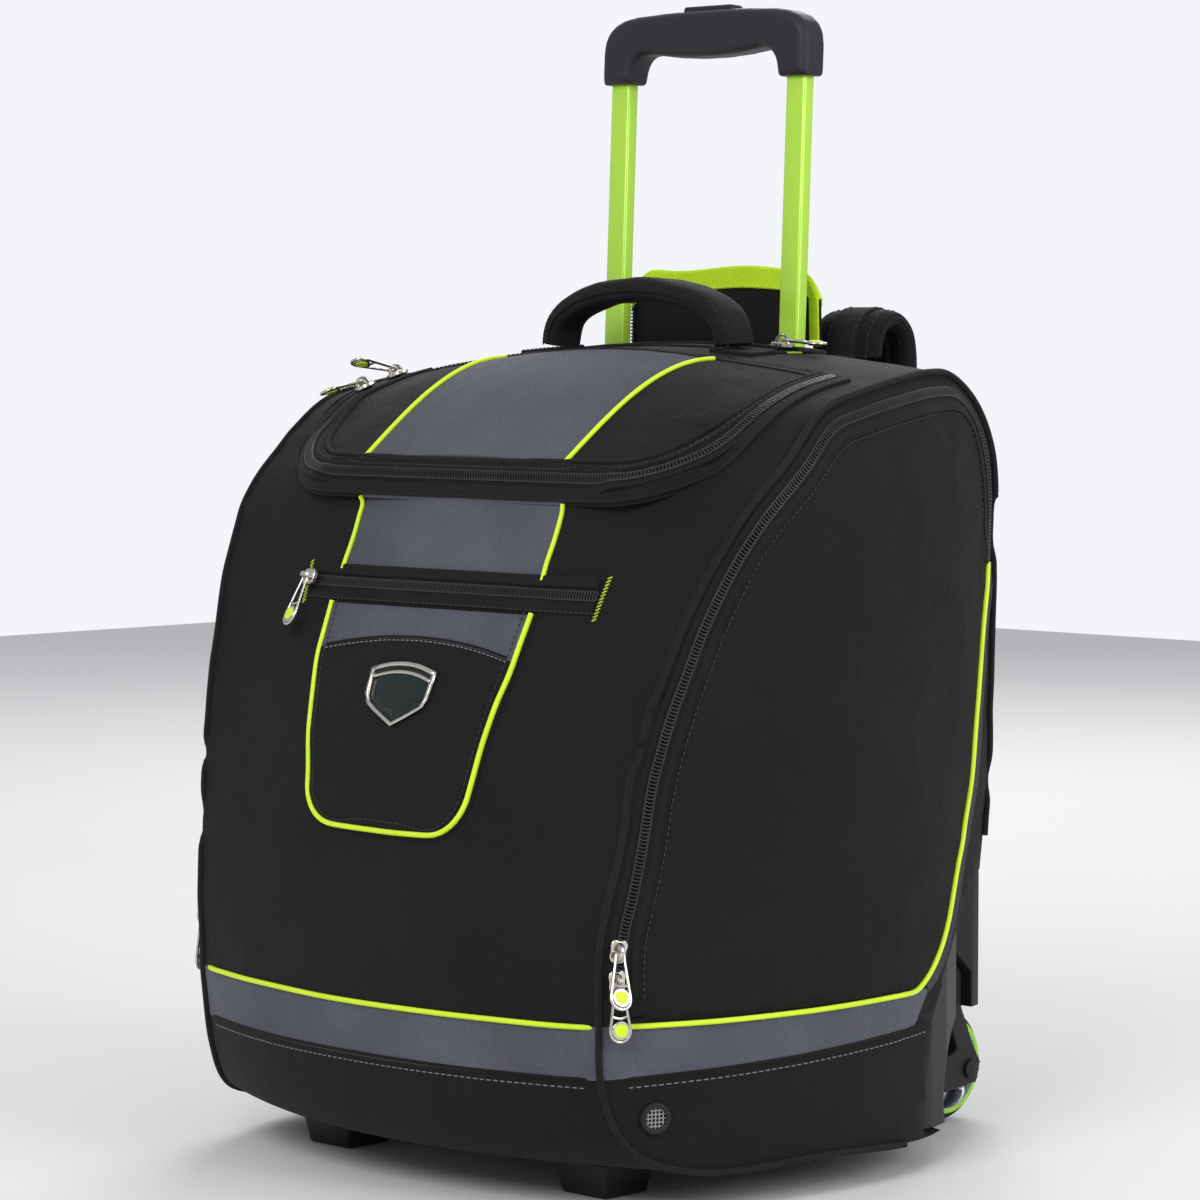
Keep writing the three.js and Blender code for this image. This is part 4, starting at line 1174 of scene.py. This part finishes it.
def hard_parts():
    """The mouldings, tubes and boards, each with the width of its eased edges."""
    for side, _ in SIDES:
        moulded(f"{side}_wheel_housing")
        hard_part(f"{side}_skid_rail", "moulding", "moulding", 1.5)
        hard_part(f"{side}_foot", "moulding", "moulding", 2)
        hard_part(f"{side}_inner_tube", "lime_paint", "lime_paint", 0.3)
        hard_part(f"{side}_outer_tube", "steel", "steel", 0.2)
        hard_part(f"{side}_axle", "steel", "steel", 0.3)
        hard_part(f"{side}_wheel_bearing", "steel", "steel", 0.3)
    hard_part("kick_plate", "moulding", "moulding", 1.2)
    hard_part("handle_bezel", "moulding", "moulding", 0.5)
    hard_part("tube_bracket", "moulding", "moulding", 1)
    moulded("grip", "grip", "grip_rubber", 1.3, 14)
    hard_part("release_button", "grip", "grip_rubber", 0.8)
    hard_part("base_board", "board", "board", 0.5)
    hard_part("back_board", "board", "board", 0.5)


# ---------------------------------------------------------------- wheels


def lathe(profile, material, steps=72):
    """A ring about X at the origin: profile points are (x, radius)."""
    n = len(profile)
    vertices, faces = [], []
    for k in range(steps):
        angle = 2 * math.pi * k / steps
        vertices += [(x, r * math.cos(angle), r * math.sin(angle)) for x, r in profile]
        a, b = k * n, (k + 1) % steps * n
        faces += [(a + j, a + (j + 1) % n, b + (j + 1) % n, b + j) for j in range(n)]
    return outward(new_object("ring", vertices, faces, material, 40))


def about_origin(piece):
    """Undoes the move that new_object makes, for a piece drawn about the part's origin."""
    piece.data.transform(Matrix.Translation((0, SETBACK * MM, -LIFT * MM)))
    return piece


def placed(piece, x, sign):
    """A piece drawn about the origin, facing outwards on an axle at a distance from the middle."""
    turn = Matrix.Rotation(math.pi, 4, "Z") if sign < 0 else Matrix.Identity(4)
    place = to_world((sign * x, WHEEL_Y, WHEEL_Z))
    about_origin(piece).data.transform(Matrix.Translation(place) @ turn)
    return piece


def tyre_ring():
    """A crowned tread with two dark grooves round it."""
    half, bead, shoulder, crown = 12, 32.6, 35.2, 4.8
    arch = [math.radians(a) for a in range(0, 181, 15)]
    tread = [(half * 0.98 * math.cos(a), shoulder + crown * math.sin(a)) for a in arch]
    ring = lathe([(half, bead), *tread, (-half, bead)], "tyre")
    low, high = shoulder + crown - 1, shoulder + crown + 0.05
    grooves = []
    for x in (-4, 4):
        band = [(x - 0.6, low), (x + 0.6, low), (x + 0.6, high), (x - 0.6, high)]
        grooves.append(lathe(band, "coil"))
    return joined(ring, *grooves)


def spoke(angle):
    """One curved spoke of the hub, from its centre to the rim."""
    turn = Matrix.Rotation(angle, 3, "X")
    stations = []
    for t in spread(0, 1, 8):
        place = Vector((15 - 7 * t * t, 4 * math.sin(math.pi * t), 11 + 17.5 * t))
        stations.append((turn @ place, turn @ Vector((1, 0, 0))))
    half = 3.1
    section = [(-half, -3), (-half * 0.7, 1.2), (0, 2), (half * 0.7, 1.2), (half, -3)]
    return sweep(stations, section, "hub")


def hub_star(spoke_count=7):
    """The hub: a rim with a lime ring, a boss, and curved spokes before a dark dish."""
    rim = lathe([(-10, 28.5), (-10, 32.4), (13, 32.4), (14.6, 31.6), (14.6, 29.8), (12, 28.4)], "hub")
    lime = lathe([(13.6, 30.2), (13.6, 33.4), (14.8, 33.2), (15.2, 31.6), (14.8, 30.2)], "lime_ring")
    dish = lathe([(2, 8), (2, 30), (4, 30), (4, 8)], "moulding")
    boss = lathe([(-10, 11.2), (-10, 14.5), (15, 13.6), (16, 12.6), (16, 11.2)], "hub")
    spokes = [spoke(2 * math.pi * (k + 0.5) / spoke_count) for k in range(spoke_count)]
    return joined(rim, lime, dish, boss, *spokes)


def wheel(side, sign):
    """A wheel's tyre and hub, and the cap on its axle's end."""
    rubber = placed(tyre_ring(), WHEEL_X, sign)
    finish_piece(rubber, f"{side}_tyre", f"{side}_wheel", "tyre", f"{side}_wheel_tyre")
    star = placed(hub_star(), WHEEL_X, sign)
    finish_piece(star, f"{side}_hub", f"{side}_wheel", "hub_silver", f"{side}_wheel_hub")
    cap = lathe([(0, 0.01), (0, 7), (2.4, 6.4), (3.2, 4), (3.4, 0.01)], "moulding")
    finish_piece(placed(cap, AXLE_END, sign), f"{side}_axle_cap", "bag", "moulding")


# ---------------------------------------------------------------- padded handles and straps


def rounded_section(width, thickness, power=3.2, sides=24):
    """A soft rectangle's section."""

    def swollen(value, size):
        return math.copysign(abs(value) ** (2 / power), value) * size / 2

    return [(swollen(c, width), swollen(s, thickness)) for c, s in circle(1, 0, sides)]


def curve_stations(points, side_way, pitch):
    """Stations along a smooth curve through points. Their normals are square to side_way."""
    path = [Vector(p) for p in points]
    dense = []
    for i in range(len(path) - 1):
        p = [path[max(i - 1, 0)], path[i], path[i + 1], path[min(i + 2, len(path) - 1)]]
        for k in range(10):
            t = k / 10
            linear = (p[2] - p[0]) * t
            square = (2 * p[0] - 5 * p[1] + 4 * p[2] - p[3]) * t * t
            cube = (3 * p[1] - p[0] - 3 * p[2] + p[3]) * t**3
            dense.append(0.5 * (2 * p[1] + linear + square + cube))
    dense.append(path[-1])
    stations = []
    for i, point in enumerate(dense):
        along = (dense[min(i + 1, len(dense) - 1)] - dense[max(i - 1, 0)]).normalized()
        stations.append((point, along.cross(Vector(side_way)).normalized()))
    return smoothed(even(stations, pitch), 2)


def crumpled(piece, amount, scale):
    """Small soft dents over a mesh."""
    return displaced(piece, lambda place: noise.noise(place / MM * scale) * amount)


def grab_handle():
    """A padded arch that ends in flat tabs sewn down to the top."""
    span, rise = 80, 37
    arch = []
    for i in range(13):
        angle = math.pi * (1 - i / 12)
        height = HANDLE_FOOT + rise * math.sin(angle) ** 0.8
        arch.append((span * math.cos(angle), HANDLE_Y, height))
    line = curve_stations(arch, (0, 1, 0), 3)
    pad = crumpled(sweep(line, rounded_section(29, 16), "webbing"), 0.8, 0.07)
    seams = [stitch(line, "black_thread", shift=s * 12, lift=5.6) for s in (-1, 1)]
    cord = [sweep(line, circle(1.3, -1, 8, s * 14.3), "black") for s in (-1, 1)]
    whole = joined(pad, *seams, *cord)
    finish_piece(whole, "carry_handle_pad", None, "black_fabric", "grab_handle")
    start = to_world((0, HANDLE_Y, HANDLE_FOOT))
    end = to_world((0, HANDLE_Y, HANDLE_FOOT + 18))
    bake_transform(whole)
    tabs = []
    for _, sign in SIDES:
        base = smoothed([top(sign * x, HANDLE_Y) for x in range(70, 108, 3)])
        tabs.append(sweep(base, strip(-13, 13, 2.4), "webbing"))
        tabs += [stitch(base, "black_thread", shift=shift, lift=2.6) for shift in (-10, 10)]
    finish_piece(joined(*tabs), "carry_handle_tabs", "bag", "black_fabric")


def strap_path(sign):
    """A shoulder strap's middle line, from its root in the top down the back."""
    x = sign * STRAP_X
    return [
        (x, 183, 514),
        (x, 187, 532),
        (x, 203, 540),
        (x, 218, 524),
        (x, 219.5, 480),
        (x + sign * 4, 216, 400),
        (x + sign * 10, 213, 310),
        (x + sign * 14, 211.5, 238),
    ]


def shoulder_strap(side, sign):
    """A padded strap with bound edges and webbing sewn down its middle, front and back."""
    line = curve_stations(strap_path(sign), (1, 0, 0), 4)
    pad = crumpled(sweep(line, rounded_section(58, 12.5, 4), "black"), 0.6, 0.05)
    edge = [sweep(line, circle(1.7, 0, 8, s * 28.6), "webbing") for s in (-1, 1)]
    face = [sweep(line, [(a, o * f) for a, o in strip(-13, 13, 7.6, -5)], "webbing") for f in (1, -1)]
    seams = []
    for shift, lift in ((22, 5.6), (11, 7.7)):
        seams += [stitch(line, "black_thread", s * shift, f * lift) for s in (-1, 1) for f in (-1, 1)]
    whole = joined(pad, *edge, *face, *seams)
    finish_piece(whole, f"{side}_strap_pad", f"{side}_strap", "black_fabric", f"{side}_shoulder_strap")


def strap_webbing(side, sign):
    """The webbing, with its plastic ladder lock, that hangs below a shoulder strap."""
    x = sign * (STRAP_X + 14)
    line = curve_stations([(x, 210.2, 233), (x, 210.4, 214), (x, 209, 196)], (1, 0, 0), 2)
    web = sweep(line, strip(-12.5, 12.5, 1.2, 1.0), "webbing")
    bars = [box(x - 15, x + 15, 208, 212.4, z, z + 3) for z in (226, 218, 210)]
    rails = [box(x + s * 14 - 1.6, x + s * 14 + 1.6, 208, 212.4, 210, 229) for s in (-1, 1)]
    lock = [recoloured(part, "moulding") for part in bars + rails]
    whole = joined(web, *lock)
    finish_piece(whole, f"{side}_strap_lock", "bag", "black_fabric", f"{side}_strap_webbing")


def flap():
    """The cover over the stowed grip, standing open: black, with lime cloth folded over its edges."""
    half, low, high, y0 = 87, 522, 572, 154.5
    columns, rows = 60, 24

    def edge(x):
        soft = 1 - max(0, (abs(x) - half + 22) / 22) ** 2.4
        return low + (high - low) * (0.62 + 0.38 * soft) + 1.6 * math.sin(x * 0.055 + 0.7)

    def place(x, t, side_way):
        z = low + (edge(x) - low) * t
        wave = 1.1 * math.sin(x * 0.06) * t + 1.6 * (1 - (x / half) ** 2) * t
        return (x, y0 + wave + side_way, z)

    def sheet(side_way, t0, t1, material, x0=-half, x1=half):
        grid = [place(x, t, side_way) for t in spread(t0, t1, rows) for x in spread(x0, x1, columns)]
        row = columns + 1
        faces = [
            (j * row + i, j * row + i + 1, (j + 1) * row + i + 1, (j + 1) * row + i)
            for j in range(rows)
            for i in range(columns)
        ]
        piece = new_object("sheet", grid, faces, material)
        thick = piece.modifiers.new("thick", "SOLIDIFY")
        thick.thickness = 1.2 * MM
        thick.offset = 0
        return apply_modifiers(piece)

    cover = sheet(0.6, 0, 1, "black")
    facing = sheet(-0.9, 0, 1, "black")
    hem_front = sheet(-1.9, 0.74, 1.01, "lime_cloth")
    hem_back = sheet(1.8, 0.84, 1.01, "lime_cloth")
    side_hem = sheet(-2.0, 0.0, 0.98, "lime_cloth", half - 8, half)
    rim = [place(x, 1, 0) for x in spread(-half, half, 80)]
    fold = sweep(curve_stations(rim, (0, 1, 0), 3), circle(1.9, 0, 10), "lime_cloth")
    teeth_line = [place(-half + 1, t / 20, -1.6) for t in range(20)]
    teeth = repeated(curve_stations(teeth_line, (1, 0, 0), 2.3), (3, 1.3, 1.8), "coil")
    hem_seam = [place(x, 0.76, -2.6) for x in spread(8 - half, half - 8, 60)]
    seam = stitch(curve_stations(hem_seam, (0, 0, 1), 3), "lime_thread")
    whole = joined(cover, facing, hem_front, hem_back, side_hem, fold, teeth, seam)
    finish_piece(whole, "handle_cover_cloth", "handle_cover", "black_fabric", "garage_flap")


# ---------------------------------------------------------------- sliders and pulls

SLIDERS = (
    "pocket",
    "garage",
    "lid_front",
    "lid_rear",
    "left_door",
    "right_door_lower",
    "right_door_upper",
)


def stand_of(name):
    """A slider's axes and place, its pull's swing, and whether the pull hangs across the chain.

    The pull hangs back along Y, and Z is out of the cloth.
    """
    run = Vector(JOINTS[f"{name}_zip_run"]["axis"]).normalized()
    across = -Vector(JOINTS[f"{name}_pull_swing"]["axis"]).normalized()
    pivot = Vector(JOINTS[f"{name}_pull_swing"]["pos_m"])
    hangs_across = abs(run.dot(across)) > 0.5
    if hangs_across:
        run = CLOTH.find_nearest(pivot)[1].cross(across).normalized()
    out = across.cross(run).normalized()
    low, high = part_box(f"{name}_pull")
    hang = (low + high) / 2 - pivot
    swing = math.atan2(hang.dot(out), -hang.dot(run))
    axes_matrix = Matrix((across, run, out)).transposed().to_4x4()
    place = Matrix.Translation(pivot - out * PULL_HEIGHT * MM) @ axes_matrix
    return place, swing, hangs_across


def slider_body():
    """A waisted plate under an arched bridge."""
    right = [(4, -7), (5.6, -3), (5, 1), (6.2, 5), (3.4, 8)]
    waist = right + [(0, 6.6)] + mirrored(right)
    plate = eased(prism(smooth_outline(waist), "z", 0.2, 3.4), 0.7)
    rising = [(-5.6, 2.6), (-4.4, 6.4), (-1.6, 8.2)]
    arch = [(0, y, z) for y, z in rising + mirrored(rising)]
    bridge = sweep(curve_stations(arch, (1, 0, 0), 1), rounded_section(3.4, 1.6, 3, 12), "nickel")
    return about_origin(recoloured(joined(plate, bridge), "nickel"))


def pull_loop():
    """A wire loop that widens to a round end holding a lime disc."""
    right = [(2.6, 0.2), (3.2, -6), (5.0, -18), (6.4, -27)]
    turn = [math.radians(a) for a in range(0, 181, 20)]
    end = [(6.6 * math.cos(a), -29 - 6.8 * math.sin(a)) for a in turn]
    outline = right + end + mirrored(right) + [(0, 0.7)]
    ring = [(Vector((x, y, 0)), Vector((0, 0, 1))) for x, y in outline]
    path = smoothed(even(ring, 1.2, closed=True), 1, closed=True)
    wire = sweep(path, circle(1.0), "nickel", closed=True)
    holder = eased(prism(smooth_outline(circle(6, -28.6, 12)), "z", -1.3, 1.3), 0.45)
    drop = [(0, -24.2), (3.4, -25.2), (4.6, -27.4), (3.6, -31.6), (0, -33)]
    lime = eased(prism(smooth_outline(drop + mirrored(drop[1:-1])), "z", -1.8, 1.8), 0.45)
    bend = curve_stations([(-5, -20, 0), (0, -21.4, 0), (5, -20, 0)], (0, 0, 1), 1)
    crossbar = sweep(bend, circle(0.9, 0, 8), "nickel")
    whole = joined(wire, recoloured(holder, "nickel"), recoloured(lime, "piping"), crossbar)
    return about_origin(whole)


def zip_hardware(name):
    """A slider on its chain, and the pull that hangs from it."""
    place, swing, hangs_across = stand_of(name)
    body = slider_body()
    turned = Matrix.Rotation(math.pi / 2 if hangs_across else 0, 4, "Z")
    body.data.transform(place @ turned)
    finish_piece(body, f"{name}_slider_looks", f"{name}_zip_slider", "nickel", f"{name}_slider")
    loop = pull_loop()
    turn = Matrix.Translation((0, 0, PULL_HEIGHT * MM)) @ Matrix.Rotation(-swing, 4, "X")
    loop.data.transform(place @ turn)
    finish_piece(loop, f"{name}_pull_looks", f"{name}_zip_pull", "nickel", f"{name}_pull")


# ---------------------------------------------------------------- eyelets, dividers and back pads


def eyelet(side, sign):
    """A moulded ring, square to the cloth, with a mesh of wires across its opening."""
    point, normal = side_at(sign, EYELET_Y, EYELET_Z)
    profile = [(-2.4, 6.6), (-2.4, 8.4), (0.8, 10.2), (2.2, 9.6), (2.7, 8.2), (2.2, 6.6)]
    pieces = [lathe(profile, "moulding", 48)]
    for across in spread(-5, 5, 4):
        reach = math.sqrt(6.8**2 - across**2)
        level = [(Vector((0.9, s * reach, across)), Vector((1, 0, 0))) for s in (-1, 1)]
        upright = [(Vector((0.9, across, s * reach)), Vector((1, 0, 0))) for s in (-1, 1)]
        pieces += [sweep(wire, circle(0.55, 0, 6), "steel") for wire in (level, upright)]
    whole = about_origin(joined(*pieces))
    facing = normal.to_track_quat("X", "Z").to_matrix().to_4x4()
    whole.data.transform(Matrix.Translation(to_world(point)) @ facing)
    finish_piece(whole, f"{side}_eyelet", "bag", "moulding", f"{side}_vent_eyelet")


def divider(side):
    """A thin padded wall of lining cloth with soft edges."""
    wall = refined(f"{side}_divider", "lining", 0.9)
    finish_piece(wall, f"{side}_divider_cloth", "bag", "black_fabric", f"{side}_divider")


def rounded_rectangle(x0, x1, z0, z1, radius):
    """An outline (X, Z) that starts at the lower right corner."""
    low_x, high_x, low_z, high_z = x0 + radius, x1 - radius, z0 + radius, z1 - radius
    corners = ((high_x, low_z), (high_x, high_z), (low_x, high_z), (low_x, low_z))
    outline = []
    for (x, z), start in zip(corners, (-90, 0, 90, 180)):
        outline += corner_arc(x, z, radius, start, start + 90, 6)
    return outline


def back_pads():
    """Padded mesh panels on the back, parted by channels."""
    middle, flanks = (-44, 44), ((-186, -128), (128, 186))
    pads = [(*middle, 230, 395), (*middle, 412, 478)] + [(*flank, 150, 470) for flank in flanks]
    pieces = []
    for sides_and_ends in pads:
        outline = rounded_rectangle(*sides_and_ends, 14)
        panel = recoloured(raised(outline, 0.3, 4.5, "mesh", BACK), "mesh")
        edge = drawn(outline, back, closed=True)
        pieces += [panel, sweep(edge, circle(1.8, 3.6, 8), "black", closed=True)]
    finish_piece(joined(*pieces), "back_pads", "bag", "black_fabric")


# ---------------------------------------------------------------- studio


def studio():
    """A pale floor and three soft lights."""
    reach = 4000
    corners = [(x * reach, y * reach, -LIFT) for x, y in ((-1, -1), (1, -1), (1, 1), (-1, 1))]
    new_object("floor", corners, [(0, 1, 2, 3)], "floor")
    world = bpy.data.worlds.new("studio")
    world.use_nodes = True
    tree = world.node_tree
    background = tree.nodes["Background"]
    background.inputs["Color"].default_value = (0.95, 0.96, 1.0, 1)
    seen = tree.nodes.new("ShaderNodeLightPath").outputs["Is Camera Ray"]
    tree.links.new((Value(tree, seen) * 0.4 + 0.55).socket, background.inputs["Strength"])
    bpy.context.scene.world = world
    bpy.context.scene.view_settings.view_transform = "Standard"
    target = Vector((0, 0, 0.35))
    for name, place, size, power in (
        ("key", (0.9, -2.6, 2.2), 1.6, 50),
        ("side", (2.8, 0.4, 1.5), 1.4, 34),
        ("rim", (-1.5, 2.2, 2.4), 1.8, 44),
    ):
        data = bpy.data.lights.new(name, "AREA")
        data.size = size
        data.energy = power
        light = bpy.data.objects.new(name, data)
        light.location = place
        light.rotation_euler = (target - light.location).to_track_quat("-Z", "Y").to_euler()
        bpy.context.scene.collection.objects.link(light)


def camera():
    """To the front right, a little above the bag."""
    data = bpy.data.cameras.new("camera")
    data.lens = 128.7
    data.sensor_width = 36
    view = bpy.data.objects.new("camera", data)
    view.location = (1.9914, -2.0088 - SETBACK * MM, 0.5486)
    view.rotation_euler = (math.radians(86.3), 0, math.radians(44.3))
    bpy.context.scene.collection.objects.link(view)
    bpy.context.scene.camera = view


# ---------------------------------------------------------------- the whole bag

cloth = whole_cloth()
body_cloth(cloth)
lid_cloth(cloth)
for side, sign in SIDES:
    door_cloth(cloth, side, sign)
CLOTH = tree_of(cloth)
bpy.data.objects.remove(cloth)

lid_zip()
pocket_zip()
garage_zip()
for side, sign in SIDES:
    door_zip(side, sign)
trims()
lid_trims()
tongue()
badge()
hard_parts()
for side, sign in SIDES:
    wheel(side, sign)
grab_handle()
flap()
for side, sign in SIDES:
    shoulder_strap(side, sign)
    strap_webbing(side, sign)
for name in SLIDERS:
    zip_hardware(name)
for side, sign in SIDES:
    eyelet(side, sign)
    divider(side)
back_pads()
studio()
camera()
